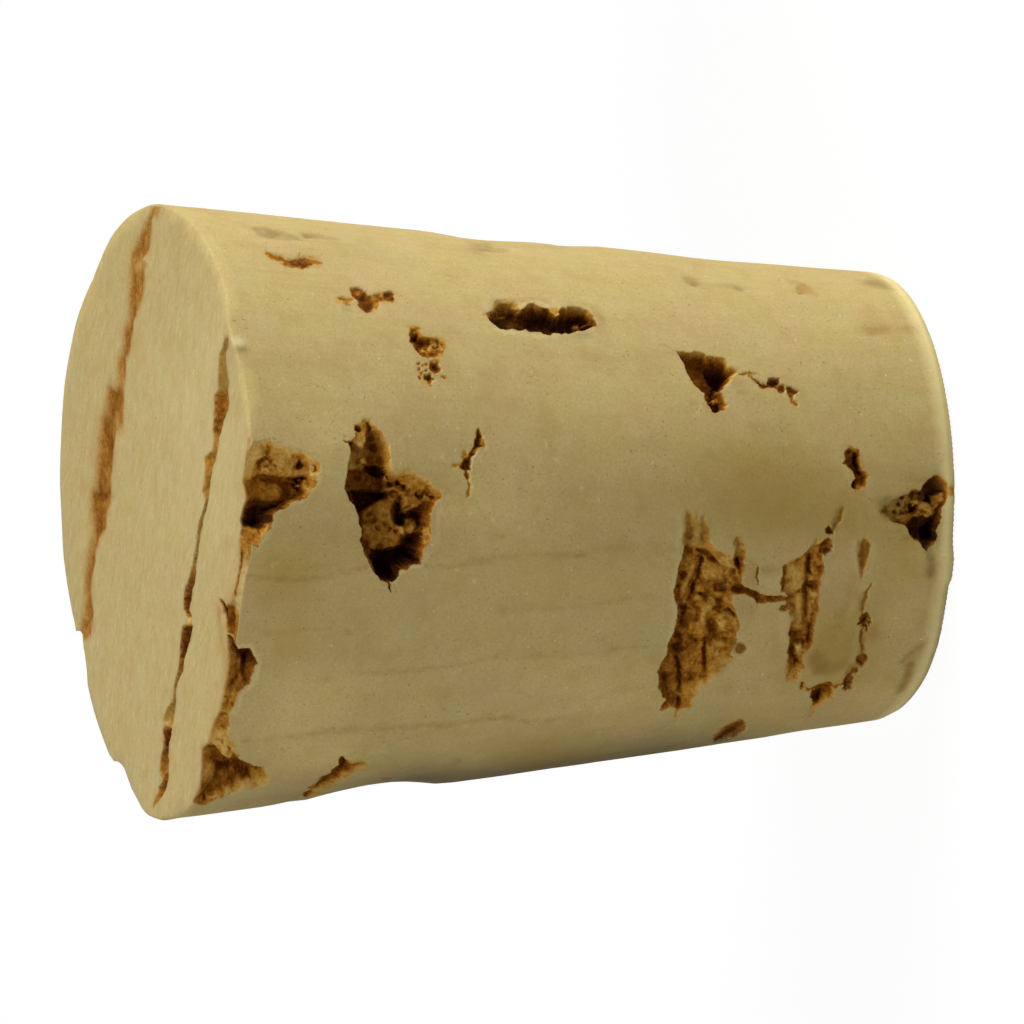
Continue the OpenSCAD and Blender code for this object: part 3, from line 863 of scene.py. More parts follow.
# M: a thin crack
etch("""
l 3 .12 .42 2 | 478.5,429 478,435
a .30 .24 2.5 | 477,434 480,436 481,444 480,448 475,448 473,450 474,444
l 5 .05 .56 4 | 482,440 483,447
l 3.4 .22 .34 2.5 | 473,449 471,455 468,460
l 4 .06 .54 3 | 476,450 473,452
a .30 .26 2.5 | 463,461 468,460 467,466 467,471 462,471 461,466
l 5 .04 .58 4 | 464,453 466,458
l 3.4 .13 .40 3 | 465,471 466,479
l 2.6 .06 .52 3 | 467,480 469,488 469,495
l 3 .03 .54 4 | 461,463 457,465 454,466
""", seed=201, grain=.02, rough=.6)
stain("462,448 470,452 468,459 461,457", "warm", .35, .10, seed=203)
stain("475,451 484,450 480,458 474,458", "pale", .30, .10, seed=204)

# I
etch("""
l 5 .16 .30 3 | 860,445 862,441 867,436
a .12 .62 4 | 848,443 855,445 856,450 847,450
a .40 .32 3 | 846,449 852,449 851,458 850,466 845,463 847,457
d .25 .52 2.5 | 851,454,2.4 856,450,2
a .75 .12 3 | 853,453 858,452 858,462 860,470 859,476 855,476 852,469 849,465 851,460
a .55 .28 3 | 858,470 863,471 868,474 865,477 858,477
l 3.4 .08 .48 3 | 867,475 873,473
l 5 .45 .20 2.5 | 856,479 853,484 853,488
a .35 .42 3 | 856,477 862,477 862,490 856,490
d .25 .62 2.5 | 858,487,2.6
d .40 .26 2.5 | 863,481,3 861,479,2
l 3 .20 .54 3 | 856,490 861,491
""", base="848,446 846,450 846,456 847,460 844,463 849,467 852,471 854,476 855,479 852,483 851,488 856,492 862,491 865,485 "
          "867,479 870,475 866,472 862,470 860,463 859,457 860,451 857,448 853,446",
     depth=.3, tone=.36, soft=2.4, gentle="851,446,8,6 860,490,7,6 868,476,7,5", seed=211, grain=.04, lip=.45)
stain("859,453 864,456 865,468 861,470", "warm", .55, .08, seed=213)
stain("866,478 874,476 872,488 862,494 864,486", "pale", .35, .10, seed=214)
stain("862,478 868,480 868,490 860,494", "warm", .30, .10, seed=215)
stain("839,462 847,468 850,476 846,480", "pale", .35, .10, seed=216)

# J: broken out of the small end's edge
etch("""
a .12 .60 5 | 880,508 884,501 893,498 903,494 908,497 905,506 905,516 900,524 888,520 881,515
l 5 .22 .34 3 | 888,501 884,507 882,513
a .18 .56 4 | 889,508 898,509 902,516 901,524 890,520 886,514
d .1 .68 2.5 | 893,507,2.6 898,508,2.6 904,504,2.8 900,518,2.4 905,517,2.4 896,503,2
d .35 .28 2.5 | 901,496,3 899,522,2.6 893,511,1.8 897,504,1.8 902,512,2.6 886,517,1.8
a .9 .20 3 | 905,501 910,499 912,503 919,503 919,509 914,514 906,512 903,508
d .5 .62 2 | 907,509,2.2 913,505,1.6
l 4 .3 .68 2.5 | 909,497 907,502
l 4.5 .25 .68 2.5 | 912,501 919,501
a .6 .24 2.5 | 909,490 918,489 920,494 915,495 910,497
l 3 .45 .52 2 | 913,495 918,497
a .8 .22 3 | 920,486 928,480 932,480 932,490 924,493 919,491
a 1.0 .15 3 | 919,494 932,490 933,500 931,506 926,503 919,500
a .9 .19 3 | 929,480 936,474 944,476 947,484 946,492 934,493 930,488
l 5 .7 .26 3 | 939,477 943,483 946,490
a .35 .68 3 | 919,503 926,502 933,508 933,513 930,517 924,515 917,512
l 4 .5 .40 2.5 | 920,510 926,512
a .40 .52 3 | 905,514 917,511 922,515 915,519 908,521
d .5 .36 2 | 913,517,2.4
a .4 .44 3 | 931,494 938,492 940,500 937,506 931,505
d .3 .68 2.5 | 940,495,3 942,499,2
l 3 .25 .68 2 | 938,503 935,508
d .6 .20 2 | 946,497,2.6
l 6 1.1 .07 2.5 | 944,503 940,508 937,514
a 1.7 .0 2 | 908,527 913,520 918,517 924,515 928,518 936,512 938,516 937,530 935,541 924,541 914,537 910,532
a - .03 2.5 | 904,526 912,518 922,516 922,541 914,538 908,533
l 6 1.0 .08 3 | 937,510 936,520 935,532
a .5 .26 3 | 917,541 931,540 929,549 921,547
d .7 .06 2.5 | 926,546,3.6
""", base="878,510 882,505 887,501 893,499 898,497 903,495 907,494 910,490 915,488 920,489 921,486 926,482 931,478 935,475 "
          "940,474 944,477 946,482 948,488 948,496 946,502 943,508 940,514 938,521 936,528 935,535 933,541 930,547 927,551 "
          "924,549 922,544 918,541 914,537 910,533 908,528 904,525 898,524 892,521 886,519 881,517",
     depth=.4, tone=.34, soft=2.6, gentle="884,508,14,10 915,490,10,6 940,476,10,7 947,490,7,7", seed=221,
     grain=.05, lip=.34, crisp="911,532,8 920,541,8 933,538,8 937,522,8")
stain("876,500 890,496 904,492 910,500 908,512 900,524 884,520", "grey", 1.0, .2, seed=231)
stain("904,492 926,482 946,474 948,490 938,504 920,504", "grey", .40, .2, seed=232)
stain("929,549 932,560 931,574", "grey", 1.1, .12, seed=225, line=True, width=.36, dent=.05)
stain("929,570 929,584 927,592", "grey", .30, .14, seed=224, line=True, width=.2)
stain("912,476 925,474 938,470 946,473 930,480 915,482", "grey", .35, .16, seed=223)
stain("938,518 944,515 945,535 940,545 934,546 936,532", "warm", .40, .12, seed=228)
stain("903,533 912,536 916,542 908,541 902,539", "warm", .6, .08, seed=226)
stain("895,527 904,527 903,532 896,531", "warm", .5, .07, seed=227)
stain("944,474 951,480 952,496 947,492", "warm", .7, .10, seed=229)
stain("905,477 925,477 925,482 908,481", "warm", .25, .14, seed=230)

# The fissured patch: left leg
etch("""
a .14 .88 5 | 682,508 702,508 702,546 690,546 682,546
l 9 .20 .68 6 | 689,514 690,530 688,543
d .27 .44 3 | 688,535,3.8 691,529,2 685,529,2
l 4.5 .23 .53 4 | 705,516 704,526 705,536
d .29 .43 2.5 | 705,533,2.5 704,522,1.8
a .22 .63 4 | 700,540 716,542 720,550 715,560 706,556 700,548
d .25 .49 2.5 | 709,542,2.2 712,548,2.5
d .29 .51 3 | 721,555,3.6
a .16 .81 4 | 719,557 734,556 735,568 728,568 718,563
l 6 .47 .36 2.5 | 685,547 690,552 687,557
l 6 .50 .31 2.5 | 697,550 704,551 711,557 716,562
l 2.5 .36 .49 2 | 716,562 724,567 731,570
a .36 .53 3.5 | 681,553 692,553 694,562 690,575 684,575 679,570
d .52 .32 2.5 | 683,575,4 680,572,2 678,585,2 680,592,2
a .22 .71 3 | 693,560 697,560 693,574 688,586 684,597 680,600 680,590 686,580 690,570
l 6.5 .68 .27 2.5 | 699,556 699,566 696,576 691,584 690,593
l 5 .61 .36 2.5 | 690,593 687,601 688,608
d .58 .39 2 | 695,580,3 702,568,1.8 701,575,2
a .32 .67 4 | 703,562 716,563 726,570 728,581 716,582 706,581 702,575
d .30 .56 2.5 | 709,570,2 716,577,2 712,566,2
l 4 .40 .46 2.5 | 724,570 724,580
a .32 .56 3 | 727,568 736,568 738,578 730,583 727,578
d .43 .43 2 | 733,571,2.2
a .22 .69 4 | 742,560 747,560 748,584 742,583
a .32 .63 3 | 700,582 708,582 706,592 700,592
d .54 .34 2.5 | 705,595,3.4 709,591,2.5 699,592,2
d .16 .89 2 | 698,598,3.6
a .18 .68 4 | 735,538 742,538 744,550 742,556 735,555
a .61 .27 2 | 734,557 745,556 744,566 741,569 735,567
l 3 .43 .43 2 | 740,568 741,580
a .18 .83 3 | 733,560 728,552 731,550 734,556
a .43 .51 3.5 | 678,600 702,600 702,640 700,668 690,684 676,700 664,698 659,685 659,668 668,650 672,636
d .58 .28 2.5 | 683,606,3.8 682,613,2.6 680,620,2.6
l 6 .54 .36 3 | 694,604 699,612 696,620
d .54 .39 2.5 | 690,616,3 700,620,2.5 687,624,2
a .61 .28 3 | 674,630 680,632 682,640 676,641 672,637
l 5 .54 .34 3 | 686,640 692,637 697,640
a .65 .26 2.5 | 671,643 682,642 684,650 678,652 673,649
l 4 .54 .36 3 | 682,647 692,650 698,645
l 4.5 .68 .26 2.5 | 676,654 678,662 678,671
a .68 .25 2.5 | 675,669 682,671 683,681 677,682
l 5.5 .58 .32 3 | 683,679 690,680 694,675 690,671
l 7 .54 .36 3 | 660,675 668,676
d .61 .32 2 | 663,676,2.5 679,686,2.6
d .47 .46 3 | 665,693,4.4 662,685,2.6 671,673,2.6
a .36 .67 3.5 | 688,624 700,622 700,638 690,633
a .40 .59 3 | 671,637 678,638 677,643 670,643
a .36 .61 3.5 | 662,661 673,659 674,670 663,670
a .43 .58 4 | 684,655 698,653 700,668 688,670
a .32 .65 4 | 682,684 697,681 700,690 692,698 684,698
a .36 .59 4 | 667,682 676,683 676,693 668,691
d .32 .65 2 | 684,602,2.4 689,611,2 683,629,2 672,655,2 681,695,2.4 693,663,2 686,638,1.8
a .20 .79 3 | 712,597 717,597 714,606 707,613 705,632 699,634 700,612 706,604
a .20 .71 3.5 | 700,620 706,620 706,635 700,637
a .50 .31 2.5 | 714,597 722,597 721,608 712,608 716,603
l 3.5 .43 .38 2 | 713,616 718,613 724,611 731,612
l 3 .40 .44 2 | 722,600 723,606 731,609
l 3 .43 .41 2 | 732,604 733,611 738,619 741,626 738,632
a .61 .27 3.5 | 707,618 716,617 718,628 716,636 709,633 706,626
a .12 .75 3 | 718,614 728,612 734,616 738,623 736,629 727,631 719,628 716,621
d .14 .61 2 | 724,617,1.6 731,624,1.6 726,626,1.6
l 3.5 .43 .43 2 | 716,633 724,631 733,629
d .54 .34 2 | 716,635,3.2
l 4.5 .47 .39 2 | 720,636 727,638
a .27 .69 4 | 709,641 722,640 728,644 730,656 724,666 710,664 707,650
l 4 .40 .43 2.5 | 719,650 725,648 729,655
d .32 .58 2.5 | 713,657,2.6 717,647,2 715,664,2
a .20 .75 6 | 708,664 728,662 722,676 712,684 706,684
l 6.5 .58 .31 2 | 704,637 711,638
l 5 .61 .29 2 | 704,638 703,655 705,668
l 3.2 .40 .44 2.5 | 705,668 705,682
l 5 .40 .39 2.5 | 662,708 666,703 673,700
l 6.5 .50 .31 2.5 | 678,697 678,705 675,712
a .25 .56 4 | 680,700 688,699 692,707 684,709
l 6 .09 .69 5 | 677,711 674,720
""", base="684,512 690,509 696,513 700,520 702,514 706,513 708,520 709,530 710,537 714,542 717,548 720,550 726,553 730,557 "
          "733,557 734,548 733,540 737,535 742,537 745,545 746,554 744,560 745,568 742,574 742,580 735,582 731,585 734,590 "
          "733,598 732,604 735,611 739,618 741,625 739,631 736,636 737,642 733,648 731,654 735,659 730,666 723,673 716,680 "
          "710,686 702,688 698,694 692,700 693,707 690,710 683,708 680,712 676,721 672,722 674,713 676,708 670,706 664,710 "
          "660,711 662,705 667,700 663,697 660,690 659,682 659,672 659,667 663,661 667,655 669,647 671,639 674,631 676,624 "
          "677,617 678,611 677,605 675,598 675,590 677,582 678,574 678,568 680,560 682,552 684,546 682,538 683,528 683,519",
     depth=.34, tone=.58, soft=2.6, gentle="690,516,24,10 706,524,18,8 714,545,12,8 712,682,24,14 727,668,14,12 676,716,10,8 "
     "740,542,12,7 692,704,10,7 728,558,10,7", seed=241, grain=.07, fine=1.6, calm=.26, centre=.49)
# crossbar
etch("""
d .34 .42 2 | 709,586,3.2
a .42 .28 2.5 | 713,582 722,582 727,586 726,593 720,593 714,591
a .40 .30 2.5 | 732,586 736,583 742,583 745,588 740,592 732,591
l 5 .34 .42 3 | 742,588 750,591 757,594
l 4 .26 .45 2.5 | 756,597 768,597 782,598
l 3 .18 .56 3 | 756,601 770,601 783,600
l 4 .20 .56 3 | 783,599 792,598
""", base="704,591 708,585 713,582 722,582 728,586 733,584 740,583 745,587 757,591 761,595 770,596 783,596 792,596 793,599 "
          "783,602 770,603 758,603 754,598 744,595 733,595 724,596 715,595 706,595",
     depth=.25, tone=.48, soft=2.4, gentle="790,599,9,5", seed=251, grain=.04, lip=.3, fine=1.0, wild=1.0, calm=.10, centre=.50)
# tan corners by the crossbar
etch("""
l 1.8 .12 .50 2 | 757,566 757,575 758,584
l 3 .18 .49 2 | 779,609 785,607
""", seed=255, grain=.03, rough=.6)
stain("743,558 756,560 758,572 757,586 744,584", "warm", .42, .14, seed=256)
stain("736,597 750,600 757,606 754,616 742,618 737,611", "warm", .34, .16, seed=257)
stain("760,568 770,566 781,567 778,573 764,574", "grey", .42, .12, seed=258)
stain("760,578 778,577 780,588 764,588", "pale", .35, .16, seed=259)
stain("734,643 741,641 747,645 746,651 740,655 734,652", "grey", 1.0, .14, seed=260, dent=.08)
stain("735,644 742,642 746,648 740,654 735,651", "warm", 1.0, .10, seed=254)
stain("684,510 697,512 700,524 703,512 708,520 712,540 700,546 684,545", "grey", .45, .14, seed=253)
stain("734,536 742,536 745,548 742,557 735,556", "grey", .40, .12, seed=252)
stain("726,655 735,659 728,669 718,678 716,672", "grey", .45, .14, seed=262)
# right leg
etch("""
a .20 .75 4 | 783,566 796,556 806,554 805,578 802,590 793,596 783,592
l 2.6 .32 .44 2 | 784,567 784,578 781,590
a .29 .56 4 | 790,564 796,557 802,556 804,562 796,567
a .25 .61 3 | 786,577 793,578 792,588 786,589
d .20 .87 2.5 | 797,573,3.6 800,584,2.6 794,582,2
l 3 .40 .41 2 | 805,588 797,590 790,596 784,603
a .16 .69 4 | 812,537 820,537 820,543 813,549 809,549
a .40 .53 3 | 807,553 822,552 824,570 820,586 818,612 806,612 804,590 806,570
l 5.5 .58 .31 2 | 808,555 807,566 809,575
l 5 .58 .32 2 | 808,578 804,586 804,598
a .32 .67 2.5 | 811,563 817,564 816,572 812,573
a .32 .63 2.5 | 808,573 816,574 815,581 809,582
d .68 .22 2 | 821,568,3.6
l 7 .61 .29 2.5 | 808,583 815,584 817,588
d .65 .27 2 | 815,586,3.2
l 4 .50 .39 2.5 | 819,552 820,560
a .29 .75 2.5 | 811,592 818,592 817,598 811,597
a .18 .71 3.5 | 796,592 803,592 803,622 798,628 795,612
l 5 .50 .38 2.5 | 805,598 807,606 806,612
a .29 .65 3 | 809,600 814,600 812,612 808,614
l 4.5 .50 .38 2 | 816,598 818,609
l 6 .68 .24 2.5 | 816,610 813,618
l 4 .22 .56 4 | 786,608 795,610
a .16 .63 4 | 790,611 802,612 803,628 792,629
l 7.5 .72 .22 2.5 | 814,618 809,630 808,642
l 5 .54 .36 2.5 | 814,622 812,634
a .47 .41 3 | 788,630 802,629 803,637 799,644 792,642
d .54 .34 2 | 792,633,2.6 797,641,3
l 5 .54 .32 2.5 | 791,645 790,652
a .13 .87 2.5 | 795,646 802,643 802,649 796,653
l 5 .54 .34 2.5 | 803,652 806,646
l 6.5 .72 .21 2.5 | 795,656 796,664 798,672
a .36 .51 5 | 786,664 794,663 797,680 788,682 785,674
d .40 .48 2.5 | 803,665,2.6
a .32 .48 4 | 800,680 806,681 806,688 802,691
d .14 .56 3 | 798,697,2.4
""", base="783,567 787,564 791,561 796,557 803,555 807,551 809,545 812,539 818,535 822,536 820,541 824,540 828,537 831,540 "
          "828,546 825,551 822,556 822,562 824,567 824,572 821,578 820,586 819,594 818,602 819,609 817,616 816,624 814,634 "
          "813,643 808,649 804,654 803,660 805,666 801,670 800,678 804,680 807,687 804,691 800,688 799,682 794,681 788,684 "
          "784,680 784,672 787,664 788,656 789,648 790,641 788,634 789,626 790,618 790,610 784,609 779,610 779,606 785,604 "
          "785,600 788,596 782,592 782,584 783,576",
     depth=.34, tone=.56, soft=2.6, gentle="816,538,12,9 798,560,10,7 790,676,16,12 803,685,9,6 800,615,14,7", seed=261,
     grain=.06, fine=1.5, calm=.14, centre=.52)
etch("""
l 7 .36 .29 2.5 | 827,540 823,547 820,550
l 5 .14 .48 3 | 829,527 827,531
d .24 .26 2.5 | 828,530,3
""", seed=265, grain=.04)
stain("779,610 789,612 788,632 786,645 780,640 777,625", "pale", .35, .16, seed=266)
stain("831,523 837,511 843,505 845,508 841,517 836,527 832,532", "grey", .75, .10, seed=263, dent=.06)
stain("832,524 838,523 841,527 837,532 832,531", "grey", .55, .10, seed=264)
stain("831,523 840,510 843,508 838,524 833,531", "warm", .30, .12, seed=262)
stain("783,576 781,592 792,594 800,587", "pale", .35, .08, seed=267, line=True, width=.16)
stain("674,556 679,560 675,575 672,592 673,604 677,612 672,630 666,650", "pale", .55, .10, seed=268, line=True, width=.22)
stain("679,515 680,530 678,545", "pale", .5, .08, seed=269, line=True, width=.18)
# foot of the right leg, and the U-shaped crack round the island
etch("""
a .55 .30 3 | 813,695 817,689 822,685 828,683 833,686 834,693 830,699 822,703 814,704
l 8 .75 .16 3 | 822,690 816,697 815,702
d .9 .08 2.5 | 814,699,3.6
a .30 .44 6 | 826,690 836,691 834,699 826,701
l 8 .15 .52 6 | 815,704 813,712
l 7 .05 .66 6 | 812,712 810,718
""", base="810,697 813,692 817,687 822,683 829,682 834,686 837,692 834,699 826,703 819,707 815,713 811,719 808,719 810,712 811,704",
     depth=.4, tone=.4, soft=3, gentle="832,697,12,10 812,714,12,10 822,706,9,8", seed=271, grain=.04, lip=.45)
etch("""
l 2.4 .12 .38 2.5 | 807,687 813,688 820,684 827,682
l 2.2 .08 .50 3 | 832,685 838,685 843,683
l 6 .30 .18 3 | 845,683 850,676
l 3.6 .12 .36 3.5 | 852,672 857,668
d .12 .40 5 | 862,660,4
d .20 .26 3.5 | 864,655,2.6 861,661,2.2
l 5 .30 .18 2.5 | 866,613 862,618 860,622
l 2.2 .18 .30 2 | 862,623 867,628
l 2.6 .15 .46 3 | 869,617 868,624
l 2.2 .14 .42 3 | 862,632 861,642
l 1.8 .10 .46 2.5 | 871,582 867,592 865,600
"""
     """a .05 .44 5 | 860,543 864,540 870,543 869,552 866,563 862,577 860,568 858,556
l 4.5 .05 .43 4 | 863,626 862,640 861,652
d .06 .39 4 | 862,658,4
l 3.4 .04 .48 4 | 866,592 863,604 862,612
l 4 .04 .48 5 | 833,530 838,519 843,508
d .06 .44 5 | 741,648,5.4
d .05 .40 3.5 | 850,678,3.4
""", seed=288, grain=.02, rough=.6)
for k, (text, kind, amount, blur) in enumerate([
        ("859,541 864,538 871,541 871,549 868,558 865,570 862,581 860,572 858,560 857,550", "grey", .40, .10),
        ("859,543 864,540 868,543 867,556 864,568 862,578 860,566 859,553", "warm", .85, .10),
        ("861,545 864,552 863,566 861,574 860,560", "grey", .15, .06),
        ("850,540 856,538 857,552 858,568 860,582 856,576 853,560", "pale", .60, .10),
        ("873,540 877,546 876,556 871,566 868,574 871,558", "pale", .45, .10),
        ("860,594 866,592 866,604 863,612 858,612 859,602", "grey", .75, .14), ("860,598 865,598 863,611 859,611", "warm", .70, .12),
        ("867,624 877,624 882,632 874,641 864,640 864,632", "warm", .55, .22), ("862,628 866,630 865,652 860,652 860,636", "grey", .70, .12),
        ("862,628 866,630 865,652 860,652 860,636", "warm", .80, .10), ("858,653 866,651 868,658 864,665 857,665", "grey", .30, .12),
        ("850,664 860,663 856,672 849,678 846,674", "grey", .60, .12), ("850,664 860,663 856,672 849,678 846,674", "warm", .75, .12),
        # painted shade: soft grey-brown patches inside the island and along its bottom, the grey ones with a slight dip
        ("845,584 856,582 858,598 848,602 843,592", "warm", .22, .2), ("845,584 856,582 858,598 848,602 843,592", "grey", .22, .2),
        ("836,612 846,600 850,606 842,624 834,640 830,636", "warm", .22, .2), ("836,612 846,600 850,606 842,624 834,640 830,636", "grey", .18, .2),
        ("809,656 816,650 824,654 829,662 826,673 816,675 810,668", "grey", .70, .18),
        ("809,656 816,650 824,654 829,662 826,673 816,675 810,668", "warm", .55, .18),
        ("828,664 840,662 850,655 850,664 840,672 828,673", "grey", .45, .16), ("828,664 840,662 850,655 850,664 840,672 828,673", "warm", .30, .16),
        ("848,640 856,632 857,652 848,656", "grey", .22, .2), ("818,640 828,628 832,640 824,652 816,652", "grey", .22, .2),
        ("800,690 815,682 838,680 852,664 856,640 851,640 846,662 834,674 815,674 806,668", "pale", .20, .12),
        ("806,714 812,704 818,706 813,714 806,720", "warm", .45, .16)]):
    stain(text, kind, amount, blur, 0.12, 740 + k, dent=.04 if kind == "grey" else 0.0)
stain("926,614 926,622 922,632", "warm", .40, .14, seed=291, line=True, width=.2)
stain("931,642 922,647 912,653 904,662", "warm", .65, .16, seed=292, line=True, width=.3, dent=.04)
stain("931,642 922,647 912,653 904,662", "grey", .6, .16, seed=294, line=True, width=.3)
stain("911,664 909,672 907,682 901,691", "warm", .9, .14, seed=293, line=True, width=.34, dent=.05)
stain("911,664 909,672 907,682 901,691", "grey", .8, .14, seed=295, line=True, width=.34)
stain("893,686 902,684 903,690 895,690", "grey", .50, .14, seed=296)

# P and Q low down
etch("""
a .50 .33 7 | 318,781 330,772 340,762 343,757 346,762 356,763 350,774 340,782 326,790 314,795 306,796
l 6 .65 .22 4 | 343,758 341,766 335,775
l 5 .35 .34 5 | 347,763 354,761 362,762
l 6 .45 .32 5 | 308,792 318,785 328,779
d .45 .30 3 | 313,789,3.4
a .15 .46 12 | 350,770 368,764 362,772 348,781 332,789 328,785
""", base="303,795 308,790 313,784 318,779 325,774 330,771 335,766 339,762 341,757 343,755 346,759 352,760 358,758 364,759 "
          "370,763 373,767 364,771 356,775 348,780 338,786 326,791 314,795 306,798",
     depth=.25, tone=.46, soft=2.2, gentle="362,768,18,16 344,781,16,14 324,791,16,10", seed=301, grain=.03, lip=.5)
stain("345,756 356,752 352,757", "warm", .4, .08, seed=302)
stain("383,777 391,778 391,782 383,782", "warm", .9, .08, seed=303)
stain("455,758 462,759 462,765 456,764", "grey", .5, .08, seed=304, dent=.02)
etch("""
l 8 .30 .30 5 | 716,737 724,731 732,727 741,722
l 4 .35 .18 3 | 722,733 732,727
""", seed=305, grain=.03, rough=.6)

# fine growth lines
for k, (text, width, amount) in enumerate([
        ("246,576 270,578 292,580 320,578 344,573 366,567", .22, .8), ("424,566 448,567 468,564 484,560 512,556 560,554 584,556", .2, .75),
        ("584,556 594,550 640,546 674,550", .24, .45), ("252,566 300,568 345,562", .10, .3),
        ("262,633 300,630 340,629 352,632", .16, .55), ("496,611 528,607 552,608 580,606 620,600 656,598", .18, .55),
        ("252,603 300,604 350,602", .2, .2), ("318,681 340,676 372,672 408,671 440,667 464,664 480,660 496,656", .2, .7),
        ("496,656 528,656 560,656 592,653 624,648 656,646", .17, .55), ("246,741 288,738 320,732 360,729 400,727 440,725 480,720 "
         "512,717 528,722 552,720", .22, .8), ("552,720 600,716 650,708", .3, .35), ("544,699 592,696 640,688", .16, .4),
        ("330,690 400,697 500,690", .2, .25), ("400,642 470,640 520,634", .16, .25), ("250,650 330,655 400,655", .16, .25),
        ("720,432 735,460 745,482 760,430", .14, .25), ("735,440 750,425 775,428 785,450 770,470 748,465", .18, .28),
        ("820,420 850,408 890,400", .16, .25), ("700,450 730,470 780,480 840,470", .2, .2), ("708,446 706,470 702,500", .14, .35),
        ("500,350 560,356 620,358 680,352", .3, .3), ("600,362 640,362 672,372", .2, .3)]):
    stain(text, "line", amount, 0.09, 0.10, 300 + k, line=True, width=width, patchy=0.5)

# Broad lighter, duller and yellower areas of the skin, partly the cork's own tone and partly painted light (the
# brighter patches low down by the small end): place in the reference view, half sizes, lift, ochre.
AREAS = [(320, 435, 50, 45, .14, 0), (500, 515, 60, 40, .18, 0), (600, 395, 60, 30, .10, 0), (600, 695, 60, 35, .12, 0),
         (285, 715, 40, 40, .12, 0), (320, 755, 35, 15, .15, 0), (320, 695, 50, 30, .08, 0), (460, 755, 50, 15, .12, 0), (460, 515, 16, 14, .10, 0), (820, 672, 24, 16, -.05, .2),
         (285, 575, 30, 25, -.10, .45), (285, 635, 30, 30, 0, .22), (320, 555, 40, 25, -.08, .12), (760, 495, 70, 40, -.15, .45),
         (760, 455, 50, 20, 0, .2), (840, 395, 60, 30, -.06, 0), (840, 515, 50, 30, -.08, .28), (840, 645, 40, 45, -.18, .55),
         (900, 555, 30, 40, -.08, .32), (900, 355, 40, 40, -.05, 0), (890, 705, 45, 22, .2, 0), (540, 755, 50, 15, 0, .4),
         (320, 255, 60, 20, -.08, 0), (600, 575, 60, 25, .02, .15), (910, 620, 30, 25, .05, 0), (900, 455, 30, 30, -.05, .1),
         (760, 715, 40, 12, .06, .25)]
_px, _py = project(np.stack([BX, BY, Z2], -1))
_v = EYE - np.stack([BX, BY, Z2], -1)
facing = (BX * _v[..., 0] + BY * _v[..., 1] - SLOPE * FORM * _v[..., 2]) / (FORM * np.linalg.norm(_v, axis=2))
seen = smooth(-0.25, 0.05, facing)
for x, y, w, h, up_by, yellow in AREAS:
    m = np.exp(-((_px - x) / w) ** 2 - ((_py - y) / h) ** 2) * seen
    side_mask["lift"] += (up_by * m).astype(np.float32)
    side_mask["ochre"] += (yellow * m).astype(np.float32)
# the breaks' own broad tones
for x, y, w, h, by in [(682, 650, 20, 46, -.11), (668, 690, 12, 16, -.06), (690, 596, 14, 16, -.05), (718, 655, 14, 22, -.02),
                       (722, 572, 16, 8, .05), (810, 560, 7, 14, -.05), (814, 655, 9, 26, -.04), (505, 306, 18, 8, .08), (852, 465, 8, 16, .08), (428, 345, 16, 14, .08),
                       (702, 366, 20, 14, .07), (893, 512, 14, 12, .08), (925, 505, 12, 8, .07), (370, 447, 12, 16, .06), (354, 460, 7, 12, .08),
                       (245, 665, 10, 16, .05), (800, 605, 9, 16, .06), (690, 525, 12, 16, .07), (425, 515, 6, 17, -.10), (385, 530, 20, 26, .04), (276, 452, 30, 16, .03), (792, 665, 7, 12, -.06)]:
    side_mask["tone"] += (by * np.exp(-((_px - x) / w) ** 2 - ((_py - y) / h) ** 2) * seen).astype(np.float32)
# painted shade: the underside along the cork's middle is darkened towards its edge in the reference view, a shadow
# painted into the colour
UNDERSIDE_SHADE = [(-.32, 0), (-.20, .20), (-.10, .48), (-.02, .70), (.10, .70), (.17, .63), (.21, .56), (.26, .44), (.31, .33), (.36, .23),
         (.44, .08), (.53, 0)]
UNDERSIDE_SHADE_ALONG = [(180, 0), (220, .10), (240, .2), (280, .38), (340, .42), (380, .7), (420, 1.0), (660, .9), (700, .75), (740, .55),
         (775, .2), (800, 0)]
side_mask["lift"] -= (lookup(facing, UNDERSIDE_SHADE) * lookup(_px, UNDERSIDE_SHADE_ALONG) * (BX < 0)).astype(np.float32)
# a small pale nub at the edge of the big end, and a painted shadow under it
_nub = np.exp(-((_px - 241) / 5.6) ** 2 - ((_py - 341) / 4.8) ** 2) * seen
sunk = sunk - 0.28 * _nub
side_mask["pale"] = np.maximum(side_mask["pale"], (1.3 * _nub).astype(np.float32))
side_mask["grey"] = np.maximum(side_mask["grey"], (0.95 * np.exp(-((_px - 244) / 7) ** 2 - ((_py - 349.5) / 3.4) ** 2) * seen).astype(np.float32))
# painted light: the foot's rounded edge is made paler and brighter, as if light caught it from beside the small end
side_mask["pale"] = np.maximum(side_mask["pale"], (0.85 * smooth(0.55, 0.0, Z2 - FOOT)).astype(np.float32))
side_mask["lift"] += (0.28 * smooth(0.6, 0.0, Z2 - FOOT)).astype(np.float32)

# sparse flecks
rng = np.random.default_rng(7)
for k, (x, y, w, h) in enumerate([(546, 445, 2, 7), (556, 460, 3, 3), (582, 488, 3, 3), (493, 520, 3, 3), (520, 528, 3, 2),
                                  (443, 457, 2, 4), (458, 428, 3, 2), (470, 514, 3, 3), (273, 566, 3, 4), (278, 563, 2, 3),
                                  (474, 581, 3, 3), (457, 570, 3, 2)]):
    stain(f"{x - w / 2},{y - h / 2} {x + w / 2},{y - h / 2} {x + w / 2},{y + h / 2} {x - w / 2},{y + h / 2}", "pale", 0.9,
          0.05, 0.02, 340 + k)

